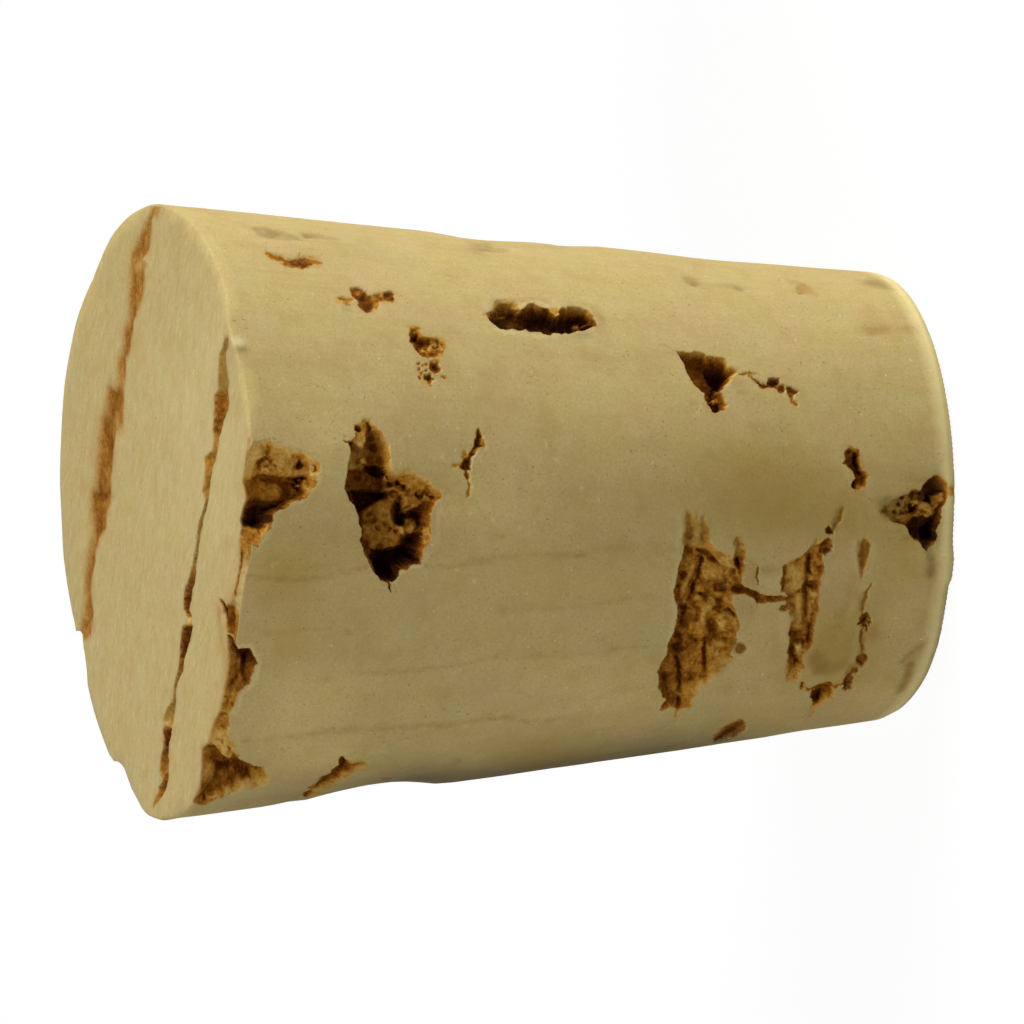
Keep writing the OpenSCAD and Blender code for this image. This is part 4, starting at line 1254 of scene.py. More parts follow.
# ---------------------------------------------------------------- hidden side: plain, with a few small pores
for k, (deg, z, w, h, dep, tn) in enumerate([
        (28, 24.0, 0.9, 0.5, 0.45, 0.30), (47, 9.5, 1.4, 0.35, 0.40, 0.34), (66, 17.8, 0.5, 0.4, 0.35, 0.30),
        (84, 26.5, 0.8, 0.5, 0.50, 0.28), (97, 6.2, 0.6, 0.6, 0.40, 0.32), (118, 14.5, 1.5, 0.6, 0.55, 0.26),
        (136, 22.4, 0.7, 0.5, 0.40, 0.32), (151, 8.7, 1.0, 0.4, 0.40, 0.30), (164, 18.2, 0.5, 0.35, 0.3, 0.34)]):
    rad = RS + SLOPE * z
    ring = []
    for a in np.linspace(0, 2 * PI, 14, endpoint=False):
        f = 1 + 0.35 * math.sin(2.0 * a + k) + 0.22 * math.sin(3.0 * a + 2.1 * k)
        ring.append((deg + math.degrees(w * f * math.cos(a) / rad), z + h * f * math.sin(a)))
    pit(("deg", ring), dep, wall=0.16, ragged=0.10, tone=tn, grain=0.08, seed=400 + 5 * k, warm=0.35, warm_w=0.3, edge=0.07)

# ---------------------------------------------------------------- the far edge of the big end
edge_drop = np.zeros(NU)
deg_all = np.degrees(TH)
far = (deg_all > 111) & (deg_all < 172)
edge_drop[far] = -np.interp(deg_all[far], *np.array(FAR_EDGE).T)
fade = smooth(4.2, 0.0, L - Z2)
rag = 1 + 0.25 * fbm(BX, BY, Z2, 0.7, 2, 61) * (edge_drop > 0)
sunk = np.maximum(sunk, edge_drop[None, :] * fade * rag)
side_mask["warm"] = np.maximum(side_mask["warm"], (smooth(0.3, 0.7, edge_drop)[None, :] * fade * 0.5).astype(np.float32))

# Slight unevenness of the ground skin.
wavy = 0.035 * fbm(BX, BY, Z2, 3.2, 2, 71) + 0.010 * fbm(BX, BY, Z2, 0.8, 2, 73)
SIDE_R = FORM - sunk + wavy * (1 - 0.7 * np.clip(sunk / 0.3, 0, 1))

# ---------------------------------------------------------------- put the rows together
P = np.zeros((NV + 1, NU, 3))
mask = {m: np.zeros((NV + 1, NU), np.float32) for m in MASKS}
mask["tone"][:] = 0.6
cosT, sinT = np.cos(TH), np.sin(TH)

up = ring_lookup(TH, EDGE_UP)
lift = np.clip((Z2 - (L - 3.0)) / 3.0, 0, 1) ** 2 * up[None, :]
P[R_FOOT:R_SIDE + 1, :, 0] = SIDE_R * cosT
P[R_FOOT:R_SIDE + 1, :, 1] = SIDE_R * sinT
P[R_FOOT:R_SIDE + 1, :, 2] = Z2 + lift
for m in MASKS:
    mask[m][R_FOOT:R_SIDE + 1] = side_mask[m]

# foot: rounded edge and base
r_foot = SIDE_R[0]
for i in range(N_FOOT + 1):
    a = 0.5 * PI * (1 - i / N_FOOT)
    r = r_foot - FOOT * (1 - math.cos(a))
    z = FOOT * (1 - math.sin(a))
    P[R_CAP_B + i, :, 0], P[R_CAP_B + i, :, 1], P[R_CAP_B + i, :, 2] = r * cosT, r * sinT, z
    for m in MASKS:
        mask[m][R_CAP_B + i] = side_mask[m][0]
r_base = r_foot - FOOT
for i in range(N_CAP_B + 1):
    r = r_base * i / N_CAP_B
    P[i, :, 0], P[i, :, 1], P[i, :, 2] = r * cosT, r * sinT, 0.0

# big end: rounded edge or broken strip, then the face
r_top = SIDE_R[-1]
z_top = Z2[-1] + lift[-1]
edge_noise = 0.05 * fbm(12 * cosT, 12 * sinT, 0 * cosT, 0.5, 3, 81, 0.6)
r_face = np.minimum(face_edge(TH) + edge_noise - edge_drop, r_top - 0.02)
in_break = rim_gap > RIM + 0.12
r_face = np.where(in_break, r_face, r_top - RIM)
z_face = L + up
band = np.clip((r_top - r_face - RIM) / 0.5, 0, 1)          # how much of a broken strip there is here
crackle = np.exp(-((deg_all + 115.5) / 4.0) ** 2)            # the dark split above T
for i in range(1, N_RIM + 1):
    t = i / N_RIM
    a = 0.5 * PI * t
    r = mix(r_top - (r_top - r_face) * (1 - math.cos(a)), r_top + (r_face - r_top) * t, band)
    z_round = z_top + (z_face - z_top) * math.sin(a)
    z_flat = z_top + (z_face - z_top) * t
    x, y = r * cosT, r * sinT
    rough = fbm(x, y, 0 * x + 31, 0.25, 3, 83, 0.6)
    crumbs = 0.5 - cells(x, y, 0 * x + 31.7, 0.25, 85)
    trough = 0.14 * math.sin(PI * t) + 0.10 * (rough + crumbs) * min(1.0, 4 * t * (1 - t) + 0.1) \
        + 0.20 * crackle * math.exp(-((t - 0.78) / 0.16) ** 2)
    z = mix(z_round, z_flat - trough, band)
    row = R_SIDE + i
    P[row, :, 0], P[row, :, 1], P[row, :, 2] = x, y, z
    fadeout = smooth(1.0, 0.88, t)
    strip = np.interp(deg_all, [-166, -150, -118, -112, -108, -103, -100, -95, -86, -77], [.55, .58, .60, .76, .86, .84, .60, .62, .70, .8])
    brown = smooth(0.70, 0.86, t) * smooth(-116, -113, deg_all) * smooth(-95, -98, deg_all) \
        * (0.55 + 0.6 * smooth(-0.2, 0.3, fbm(4 * cosT, 4 * sinT, 0 * cosT, 0.18, 2, 87)))
    hold = np.interp(deg_all, [-119, -117, -114, -102.5, -99.5, -98], [1, .8, .28, .28, .8, 1])
    hold = np.maximum(hold, 0.85 * crackle)
    strip = strip - 0.14 * crackle
    mask["pit"][row] = np.maximum(side_mask["pit"][-1] * (1 - t) * (1 - band), np.maximum(band * fadeout * np.maximum(hold, brown), band * smooth(0.25, 0.7, crackle)))
    mask["tone"][row] = mix(mix(0.60, side_mask["tone"][-1], side_mask["pit"][-1] * (1 - 0.5 * t)),
                            strip - 0.36 * brown + 0.16 * rough + 0.2 * crumbs, band * (1 - 0.6 * side_mask["pit"][-1])) \
        - 0.3 * crackle * math.exp(-((t - 0.78) / 0.2) ** 2)
    for m in ("pale", "warm", "grey", "line", "lift", "ochre"):
        mask[m][row] = side_mask[m][-1] * (1 - t)
    mask["pale"][row] += 0.5 * band * (1 - hold) * (1 - brown)

FX = np.zeros((N_CAP_T + 1, NU))
FY = np.zeros_like(FX)
for i in range(N_CAP_T + 1):
    r = r_face * (1 - i / N_CAP_T)
    FX[i], FY[i] = r * cosT, r * sinT
FR = np.hypot(FX, FY)
FZ = L + up[None, :] * np.clip(FR / RB, 0, 1) ** 3
PX, PY = project(np.stack([FX, FY, np.full_like(FX, L)], -1))

# Grooves of the face, by picture row: row, left, right, depth, tone, grey
GROOVE_2 = [(336, 229, 233, .04, .62, .6), (346, 226, 232, .10, .62, .7), (352, 222, 229, .14, .70, .55), (370, 221, 228, .16, .70, .55),
            (380, 220, 229, .16, .68, .55), (391, 219, 228, .18, .74, .55), (395, 215, 228, .5, .46, 0), (405, 215, 228, .6, .44, 0),
            (420, 214, 224, .5, .36, .1), (430, 213, 221, .5, .32, .15), (437, 214, 219, .3, .62, .3), (450, 213, 218, .25, .68, .35),
            (455, 205, 217, .3, .62, .1), (460, 205, 216, .4, .58, 0), (466, 206, 213, .3, .6, .2), (470, 206, 213, .3, .66, .4),
            (480, 205, 211, .35, .55, .4), (490, 203, 210, .4, .58, .4), (500, 206, 209, .15, .7, .9), (510, 204, 206.5, .15, .72, .9),
            (520, 200, 203, .15, .68, .9), (540, 197, 199.5, .15, .72, .9), (560, 193.5, 196.5, .15, .74, .8), (570, 191, 196, .3, .58, .4),
            (580, 188, 195, .5, .30, .35), (585, 186, 194, .3, .46, .6), (590, 185, 192, .6, .26, .3), (600, 184, 191, .7, .26, 0),
            (610, 184, 189, .6, .28, .1), (616, 187, 192, .4, .30, .3), (618, 188, 191, .03, .9, 0), (624, 186, 191, .03, .9, 0),
            (626, 183, 193, .9, .24, .1), (640, 181, 190, 1.0, .22, 0), (650, 180, 187, 1.0, .22, 0), (660, 179, 184, .8, .26, .1),
            (668, 178, 183, .4, .42, .4), (680, 175.5, 178, .25, .64, .8), (690, 173.5, 175.5, .25, .66, .8), (700, 172.5, 175.5, .25, .64, .8),
            (710, 166, 174, .25, .70, .6), (720, 163, 172, .25, .72, .5), (723, 164, 172, .06, .85, .2), (727, 164, 171, .06, .85, .2),
            (730, 163, 170, .7, .24, 0), (740, 163, 169, .8, .20, 0), (750, 163, 168, .7, .24, 0), (757, 160, 167, .4, .38, .3),
            (770, 159, 167, .5, .5, .2), (780, 162, 167, .5, .30, .2), (787, 158, 165, .5, .34, .2), (792, 158, 163, .35, .5, .1),
            (800, 154, 158, .2, .62, .2), (806, 152, 155, .06, .75, .3), (808, 152, 153, 0, .8, .3)]
GROOVE_1 = [(205, 150, 158, 0, .85, 0), (212, 148, 157, .08, .82, 0), (217, 146, 154, .1, .78, 0), (220, 144, 149, .2, .6, 0),
            (230, 139, 150, .3, .55, 0), (240, 136, 149, .3, .55, 0), (250, 132, 147, .35, .55, 0), (260, 129, 139, .3, .6, 0),
            (264, 128, 146, .12, .85, 0), (268, 129, 144, .15, .8, 0), (272, 130, 141, .3, .56, 0), (280, 129, 143, .3, .52, 0),
            (300, 128, 141, .35, .54, 0), (310, 129, 137, .35, .5, 0), (320, 128, 133, .35, .45, 0), (330, 125, 131, .4, .4, 0),
            (340, 123, 131, .45, .33, 0), (350, 122, 130, .4, .45, 0), (360, 118, 125, .35, .5, 0), (370, 117, 126, .35, .52, 0),
            (380, 117, 124, .35, .52, 0), (390, 108, 123, .35, .5, 0), (400, 107, 124, .4, .48, 0), (410, 106, 124, .4, .48, 0),
            (420, 101, 123, .35, .5, 0), (430, 100, 120, .45, .45, 0), (440, 98, 115, .4, .48, 0), (460, 97, 114, .4, .46, 0),
            (480, 96, 110, .4, .46, 0), (495, 92, 112, .45, .42, 0), (510, 91, 107, .4, .5, 0), (530, 91, 105, .4, .44, 0),
            (540, 91, 99, .35, .46, 0), (560, 86, 94, .35, .46, 0), (580, 84, 90, .35, .44, 0), (600, 82, 89, .35, .46, 0),
            (613, 80, 91, .4, .44, 0), (628, 77, 91, .35, .5, 0), (636, 75, 90, .3, .55, 0), (640, 75, 88, 0, .55, 0)]

face_down = np.zeros_like(FX)
face_mask = {m: np.zeros(FX.shape, np.float32) for m in MASKS}
face_mask["tone"][:] = 0.6


def groove(table, soft_edge, seed, dark=(), blur=0.5, deep=1.0, even=0.0, centre=0.62):
    """dark are (x, y, half width, half height, tone, extra depth) spots in the picture; blur is in its pixels."""
    rough = fbm(FX, FY, 0 * FX, 0.35, 3, seed, 0.6)
    fine = fbm(FX, FY, 0 * FX, 0.14, 2, seed + 3)
    crumbs = 0.5 - cells(FX, FY, 0 * FX + 3.1, 0.26, seed + 7)
    jx = 1.1 * fbm(FX, FY, 0 * FX + 5, 0.7, 3, seed + 1, 0.6)
    jy = 3.0 * fbm(FX, FY, 0 * FX + 9, 0.8, 2, seed + 2)
    y = PY + jy
    left, right = lookup(y, table, 1), lookup(y, table, 2)
    depth = deep * lookup(y, table, 3)
    d = np.minimum(PX + jx - left, right - PX - jx) / 8.4
    on = (y > table[0][0]) & (y < table[-1][0])
    t = np.clip(d / np.minimum(soft_edge, np.maximum(0.4 * (right - left) / 8.4, 0.03)), 0, 1) * on
    for sx, sy, hw, hh, stone, extra in dark:
        depth = depth + deep * extra * np.exp(-(((PX - sx) / hw) ** 2 + ((PY - sy) / hh) ** 2) ** 1.5)
    global face_down
    prof = 1 - (1 - t) ** 1.7
    cut = prof * depth * (1 + 0.15 * rough) + 0.05 * deep * t * (rough + crumbs) * np.clip(depth / 0.3, 0, 1)
    cut = np.maximum(cut, 0)
    face_down = np.maximum(face_down, cut)
    # the colour, where each point shows
    steep = np.hypot(np.gradient(cut, axis=0) / 0.034, np.gradient(cut, axis=1) / np.maximum(FR * 2 * PI / NU, 0.004))
    even_out = 1 / (1 + (steep / 2.5) ** 2)
    rough = fbm(FX, FY, 1.6 * cut, 0.35, 3, seed, 0.6)
    fine = fbm(FX, FY, 1.6 * cut, 0.13, 2, seed + 3)
    crumbs = 0.5 - cells(FX, FY, 1.3 * cut + 3.1, 0.24, seed + 7)
    sx2, sy2 = project(np.stack([FX, FY, L - cut], -1))
    y = sy2 + jy
    left, right = lookup(y, table, 1), lookup(y, table, 2)
    tone, grey = mix(lookup(y, table, 4), centre, even), lookup(y, table, 5)
    for sx, sy, hw, hh, stone, extra in dark:
        m = np.exp(-(((sx2 - sx) / hw) ** 2 + ((sy2 - sy) / hh) ** 2) ** 1.5)
        tone = mix(tone, mix(stone, centre, even), m)
    on = smooth(table[0][0] - 2, table[0][0] + 2, y) * smooth(table[-1][0] + 2, table[-1][0] - 2, y)
    d = np.minimum(sx2 + jx - left, right - sx2 - jx)
    m = np.maximum(smooth(-blur, blur, d + 0.3), smooth(0.0, 0.35, t)) * on
    calm = (1 - 0.6 * even) * even_out
    near_edge = smooth(-3, 0, d) * on * (1 - m) * np.clip(depth / 0.25, 0, 1)
    faint = 1 - 0.45 * even * smooth(0.42, 0.66, tone + 0.25 * rough)
    face_mask["pit"][:] = np.maximum(face_mask["pit"], m * faint)
    face_mask["tone"][:] = mix(face_mask["tone"], np.clip(tone + calm * (0.16 * rough + 0.14 * fine + 0.26 * crumbs), 0, 1), m)
    face_mask["grey"][:] = np.maximum(face_mask["grey"], grey * m * (1 + 0.5 * fine + 0.5 * rough))
    face_mask["warm"][:] = np.maximum(face_mask["warm"], 0.35 * near_edge * (1 - grey) * (0.7 + 0.6 * rough))


groove(GROOVE_2, 0.26, 501, deep=.55, blur=.9, dark=[(210, 458, 3, 6, 0.55, 0)])
groove(GROOVE_1, 0.50, 521, blur=3.0, deep=.28, even=.5, centre=.50,
       dark=[(119, 396, 3, 4, .22, .2), (112, 408, 3, 9, .22, .2), (108, 430, 4, 5, .25, .2),
             (112, 455, 2, 4, .22, .2), (110, 466, 2.5, 7, .24, .2), (100, 471, 3, 7, .28, .1),
             (106, 480, 3, 5, .26, .2), (102, 495, 7, 8, .22, .2), (96, 530, 4, 12, .28, .2), (111, 440, 3, 16, .24, .1),
             (100, 512, 4, 9, .32, .1), (92, 560, 2.5, 12, .36, .1), (134, 285, 3, 14, .34, .1), (130, 318, 3, 12, .34, .1),
             (141, 242, 4, 12, .40, .1),
             (127, 340, 4, 7, .28, .1), (88, 613, 3, 4, .24, .2)])
face_mask["lift"][:] += 0.07


def face_crack(text, width, depth, tone, seed):
    jx = 1.2 * fbm(FX, FY, 0 * FX + 2, 0.5, 3, seed, 0.6)
    s, along = near_line(pts(text), PX + jx, PY + 2 * jx)
    w = 0.5 * width * (0.5 + 0.5 * np.sin(PI * np.clip(along, 0.05, 0.95))) * (1 + 0.6 * fbm(FX, FY, 0 * FX, 0.3, 2, seed + 4))
    m = smooth(w + 0.9, w - 0.5, s)
    global face_down
    face_down = np.maximum(face_down, depth * m)
    face_mask["pit"][:] = np.maximum(face_mask["pit"], m)
    face_mask["tone"][:] = mix(face_mask["tone"], tone + 0.2 * fbm(FX, FY, 0 * FX, 0.2, 2, seed + 6), m)


face_crack("221,601 225,609 227,617 230,626 232,636 236,646", 5.2, .12, .12, 551)
face_crack("227,612 231,616 234,622 235,630", 5.0, .08, .36, 561)
# soft stains on the face along the broken edge, and a few spots
FD = np.degrees(np.arctan2(FY, FX))
gap_in = r_face[None, :] - FR
edge_warm = smooth(0.9, 0.0, gap_in) * smooth(-136, -128, FD) * smooth(-103, -110, FD) * 0.55
edge_warm = np.maximum(edge_warm, smooth(0.5, 0.0, gap_in) * smooth(-166, -156, FD) * smooth(-76, -84, FD) * 0.35)
face_mask["warm"][:] = np.maximum(face_mask["warm"], edge_warm * (0.8 + 0.5 * fbm(FX, FY, 0 * FX, 0.5, 2, 541)))
for x, y, hw, hh, kind, amount in [(170, 575, 4, 5, "warm", .45), (228, 545, 6, 8, "warm", .5), (210, 459, 6, 7, "warm", .6),
                                   (170, 690, 4, 6, "warm", .25), (190, 770, 5, 7, "warm", .3), (207, 706, 5, 8, "warm", .25),
                                   (120, 330, 3, 4, "warm", .2), (100, 350, 3, 5, "warm", .2), (155, 480, 3, 5, "warm", .18),
                                   (175, 440, 3, 6, "warm", .15), (240, 567, 4, 7, "pale", .3),
                                   (216, 684, 2, 3, "grey", .6), (150, 700, 3, 6, "warm", .2), (165, 756, 6, 4, "warm", .3),
                                   (219, 612, 4, 10, "warm", .9), (221, 640, 4, 12, "warm", .6), (219, 628, 4, 12, "pale", 0), (222, 630, 5, 10, "warm", .5), (232, 628, 3, 7, "warm", .9),
                                   (225, 650, 5, 14, "warm", .6), (200, 420, 42, 110, "pale", .38), (215, 500, 30, 50, "pale", .30),
                                   (165, 380, 22, 45, "pale", .28)]:
    m = np.exp(-(((PX - x) / hw) ** 2 + ((PY - y) / hh) ** 2))
    face_mask[kind][:] = np.maximum(face_mask[kind], amount * m * (0.8 + 0.5 * fbm(FX, FY, 0 * FX, 0.4, 2, 543)))

face_wavy = 0.02 * fbm(FX, FY, 0 * FX, 2.5, 2, 91) + 0.007 * fbm(FX * 0.4 + FY * 0.2, FY * 2.2 - FX, 0 * FX, 0.5, 2, 93)
at_edge = smooth(0, 0.3, gap_in)
FZ = FZ - face_down * smooth(0, 0.05, gap_in + 0.02) + face_wavy * at_edge
P[R_RIM:, :, 0], P[R_RIM:, :, 1] = FX, FY
P[R_RIM + 1:, :, 2] = FZ[1:]
P[R_RIM, :, 2] = np.minimum(P[R_RIM, :, 2], z_face - face_down[0])
for m in MASKS:
    first = mask[m][R_RIM].copy()
    mask[m][R_RIM:] = face_mask[m]
    if m in ("pit", "tone"):
        mask[m][R_RIM] = np.where(band > 0.3, np.maximum(first, face_mask[m][0]), face_mask[m][0])

# base: plain, with two faint ring cracks
bx, by = P[:R_CAP_B + 1, :, 0], P[:R_CAP_B + 1, :, 1]
q = 0.51 * bx + 0.86 * by + 0.25 * fbm(bx, by, 0 * bx, 1.6, 2, 95)
s = -0.86 * bx + 0.51 * by
for q0, s0, s1, w, dep in [(-4.1, -6.5, 1.5, 0.16, 0.30), (3.6, -3.0, 6.5, 0.12, 0.22)]:
    reach = smooth(s0 - 0.8, s0 + 0.8, s) * smooth(s1 + 0.8, s1 - 0.8, s)
    t = np.clip((w * (0.7 + 0.5 * fbm(bx, by, 0 * bx, 0.5, 2, 97)) * reach - np.abs(q - q0)) / 0.12, 0, 1)
    P[:R_CAP_B + 1, :, 2] += dep * t
    mask["pit"][:R_CAP_B + 1] = np.maximum(mask["pit"][:R_CAP_B + 1], smooth(0.1, 0.5, t))
    mask["tone"][:R_CAP_B + 1] = mix(mask["tone"][:R_CAP_B + 1], 0.42, smooth(0.1, 0.5, t))

# one point at each end's middle
P[0, :, :] = P[0, 0, :]
P[NV, :, :] = P[NV, :, :].mean(axis=0)
P[NV, :, 2] = P[NV - 1, :, 2].mean()

# ---------------------------------------------------------------- an even choice of lattice cells: small where the shape needs it
VAL = np.concatenate([P] + [w * mask[m][..., None] for m, w in
                            (("pit", .22), ("tone", .10), ("pale", .14), ("warm", .15), ("grey", .16), ("line", .16), ("lift", .12), ("ochre", .12))], axis=2)
VAL = np.concatenate([VAL, VAL[:, :1]], axis=1).astype(np.float32)
# how much error each row and column may have (mm)
seen = smooth(22, 8, np.degrees(np.maximum(np.abs(wrap(TH + PI / 2)) - PI / 2, 0)))
ALLOW_ROW = np.ones(NV)
ALLOW_ROW[:R_FOOT] = 2.4
ALLOW_ROW[R_RIM:] = 1.9
ALLOW_COL = mix(2.4, 1.0, seen)
MOST_TRIANGLES = 192000
LEVELS = 4


def cell_error(n):
    """Largest distance between the lattice and a flat patch through each cell's corners."""
    rows, cols = NV // n, NU // n

    def pick(i, j):
        return VAL[i:i + (rows - 1) * n + 1:n, j:j + (cols - 1) * n + 1:n]

    a, b, c, d = pick(0, 0), pick(0, n), pick(n, 0), pick(n, n)
    err = np.zeros((rows, cols), np.float32)
    for i in range(n + 1):
        for j in range(n + 1):
            ti, tj = i / n, j / n
            guess = (1 - ti) * ((1 - tj) * a + tj * b) + ti * ((1 - tj) * c + tj * d)
            err = np.maximum(err, ((pick(i, j) - guess) ** 2).sum(-1))
    return np.sqrt(err)


ALLOW = np.outer(ALLOW_ROW, ALLOW_COL)
ERR = {}
for level in range(1, LEVELS + 1):
    n = 2 ** level
    ERR[level] = cell_error(n) / (np.outer(ALLOW_ROW.reshape(-1, n).min(1), ALLOW_COL.reshape(-1, n).min(1)))
    if level == 1:
        ERR[1][R_RIM // 2:] *= 0.45
        ERR[1][:R_FOOT // 2] *= 0.45
        ERR[1][R_FOOT // 2:R_RIM // 2] *= 0.75


def choose(tol):
    """Which cells are split, so that no error is over tol and neighbours differ by one level at most; and how many triangles."""
    split = {}
    for level in range(1, LEVELS + 1):
        flag = ERR[level] > tol
        if level > 1:
            child = split[level - 1]
            grown = child | np.roll(child, 1, 1) | np.roll(child, -1, 1)
            g2 = grown.copy()
            g2[1:] |= grown[:-1]
            g2[:-1] |= grown[1:]
            flag |= g2.reshape(g2.shape[0] // 2, 2, g2.shape[1] // 2, 2).any(axis=(1, 3))
        split[level] = flag
    count = 0
    for level in range(LEVELS, 0, -1):
        rows, cols = split[level].shape
        here = np.ones((rows, cols), bool) if level == LEVELS else np.repeat(np.repeat(split[level + 1], 2, 0), 2, 1)
        s = split[level] & here
        leaf = here & ~split[level]
        cuts = np.roll(s, 1, 1).astype(int) + np.roll(s, -1, 1)
        cuts[1:] += s[:-1]
        cuts[:-1] += s[1:]
        count += int((np.where(cuts > 0, 4 + cuts, 2) * leaf).sum())
        if level == 1:
            count += int(s.sum()) * 8
    return split, count


low, high = 0.004, 0.4
for _ in range(12):
    tol = math.sqrt(low * high)
    _, count = choose(tol)
    low, high = (tol, high) if count > MOST_TRIANGLES else (low, tol)
split, count = choose(high)
print("cell error allowed:", round(high, 4), "mm, triangles", count)

def corner(i, j):
    """Lattice point numbers, one for all of each end row."""
    j = j % NU
    n = i * NU + j
    n = np.where(i == 0, 0, n)
    return np.where(i == NV, NV * NU, n)


tris = []
for level in range(LEVELS, -1, -1):
    n = 2 ** level
    rows, cols = NV // n, NU // n
    here = np.ones((rows, cols), bool) if level == LEVELS else np.repeat(np.repeat(split[level + 1], 2, 0), 2, 1)
    leaf = here & ~split[level] if level > 0 else here
    i, j = np.nonzero(leaf)
    if not len(i):
        continue
    if level > 0:
        s = split[level]
        right, left = s[i, (j + 1) % cols], s[i, (j - 1) % cols]
        over = np.where(i + 1 < rows, s[np.minimum(i + 1, rows - 1), j], False)
        under = np.where(i > 0, s[np.maximum(i - 1, 0), j], False)
        # a neighbour only counts where it is a cell of this level that is split
        h = here
        right &= h[i, (j + 1) % cols]
        left &= h[i, (j - 1) % cols]
        over &= np.where(i + 1 < rows, h[np.minimum(i + 1, rows - 1), j], False)
        under &= np.where(i > 0, h[np.maximum(i - 1, 0), j], False)
        hanging = right | left | over | under
    else:
        right = left = over = under = hanging = np.zeros(len(i), bool)
    I, J = i * n, j * n
    plain = ~hanging
    a, b = corner(I[plain], J[plain]), corner(I[plain], J[plain] + n)
    c, d = corner(I[plain] + n, J[plain] + n), corner(I[plain] + n, J[plain])
    flatP = P.reshape(-1, 3)
    if level > 0:
        mid = P[I[plain] + n // 2, (J[plain] + n // 2) % NU]
        e1 = np.linalg.norm((flatP[a] + flatP[c]) / 2 - mid, axis=1)
        e2 = np.linalg.norm((flatP[b] + flatP[d]) / 2 - mid, axis=1)
    else:
        e1 = np.linalg.norm(flatP[a] - flatP[c], axis=1)
        e2 = np.linalg.norm(flatP[b] - flatP[d], axis=1)
    one = e1 <= e2
    tris += [np.stack([a, b, c], 1)[one], np.stack([a, c, d], 1)[one],
             np.stack([a, b, d], 1)[~one], np.stack([b, c, d], 1)[~one]]
    if hanging.any():
        I, J = I[hanging], J[hanging]
        right, left, over, under = right[hanging], left[hanging], over[hanging], under[hanging]
        m = n // 2
        mid = corner(I + m, J + m)
        a, b, c, d = corner(I, J), corner(I, J + n), corner(I + n, J + n), corner(I + n, J)
        for cut, p0, p1, half in ((under, a, b, corner(I, J + m)), (right, b, c, corner(I + m, J + n)),
                                  (over, c, d, corner(I + n, J + m)), (left, d, a, corner(I + m, J))):
            tris.append(np.stack([p0, p1, mid], 1)[~cut])
            tris.append(np.stack([p0, half, mid], 1)[cut])
            tris.append(np.stack([half, p1, mid], 1)[cut])
tris = np.concatenate(tris)
tris = tris[(tris[:, 0] != tris[:, 1]) & (tris[:, 1] != tris[:, 2]) & (tris[:, 0] != tris[:, 2])]

used, flat_ids = np.unique(tris, return_inverse=True)
faces = flat_ids.reshape(-1, 3)
verts = P.reshape(-1, 3)[used]
print("stopper mesh:", len(verts), "points", len(faces), "triangles")

me = bpy.data.meshes.new("stopper_cork")
me.vertices.add(len(verts))
me.vertices.foreach_set("co", (verts * 0.001).astype(np.float32).ravel())
me.loops.add(len(faces) * 3)
me.loops.foreach_set("vertex_index", faces.astype(np.int32).ravel())
me.polygons.add(len(faces))
me.polygons.foreach_set("loop_start", np.arange(0, len(faces) * 3, 3, dtype=np.int32))
me.polygons.foreach_set("use_smooth", np.ones(len(faces), bool))
me.update(calc_edges=True)

for m in MASKS:
    layer = me.attributes.new(m, "FLOAT", "POINT")
    layer.data.foreach_set("value", mask[m].reshape(-1)[used].astype(np.float32))

# flat layout: the side in two strips, the ends as discs, all to one scale
SC = 0.0148
row_of, col_of = used // NU, used % NU
fr, fc = row_of[faces], col_of[faces].astype(float)
mean_row = fr.mean(1)
is_base, is_face = mean_row < R_CAP_B, mean_row > R_RIM
wide = (fc.max(1) - fc.min(1)) > NU / 2
fc[wide] = np.where(fc[wide] < NU / 2, fc[wide] + NU, fc[wide])
half = (fc.mean(1) >= NU / 2).astype(float)[:, None]
uv = np.zeros((len(faces), 3, 2))
arc = 2 * PI * 11.4
uv[:, :, 0] = 0.01 + (fc - half * NU / 2) / NU * arc * SC
uv[:, :, 1] = 0.01 + half * 0.495 + (np.clip(fr - R_CAP_B, 0, None) / (R_RIM - R_CAP_B)) * 32.2 * SC
fv = verts[faces]
for sel, cx, cy in ((is_base, 0.82, 0.70), (is_face, 0.79, 0.25)):
    uv[sel, :, 0] = cx + fv[sel, :, 0] * SC
    uv[sel, :, 1] = cy + fv[sel, :, 1] * SC
layer = me.uv_layers.new(name="OFBake")
layer.data.foreach_set("uv", uv.astype(np.float32).ravel())
me.validate()

cork = bpy.data.objects.new("stopper_cork", me)
bpy.context.scene.collection.objects.link(cork)
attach(cork, "root")
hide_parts("stopper")


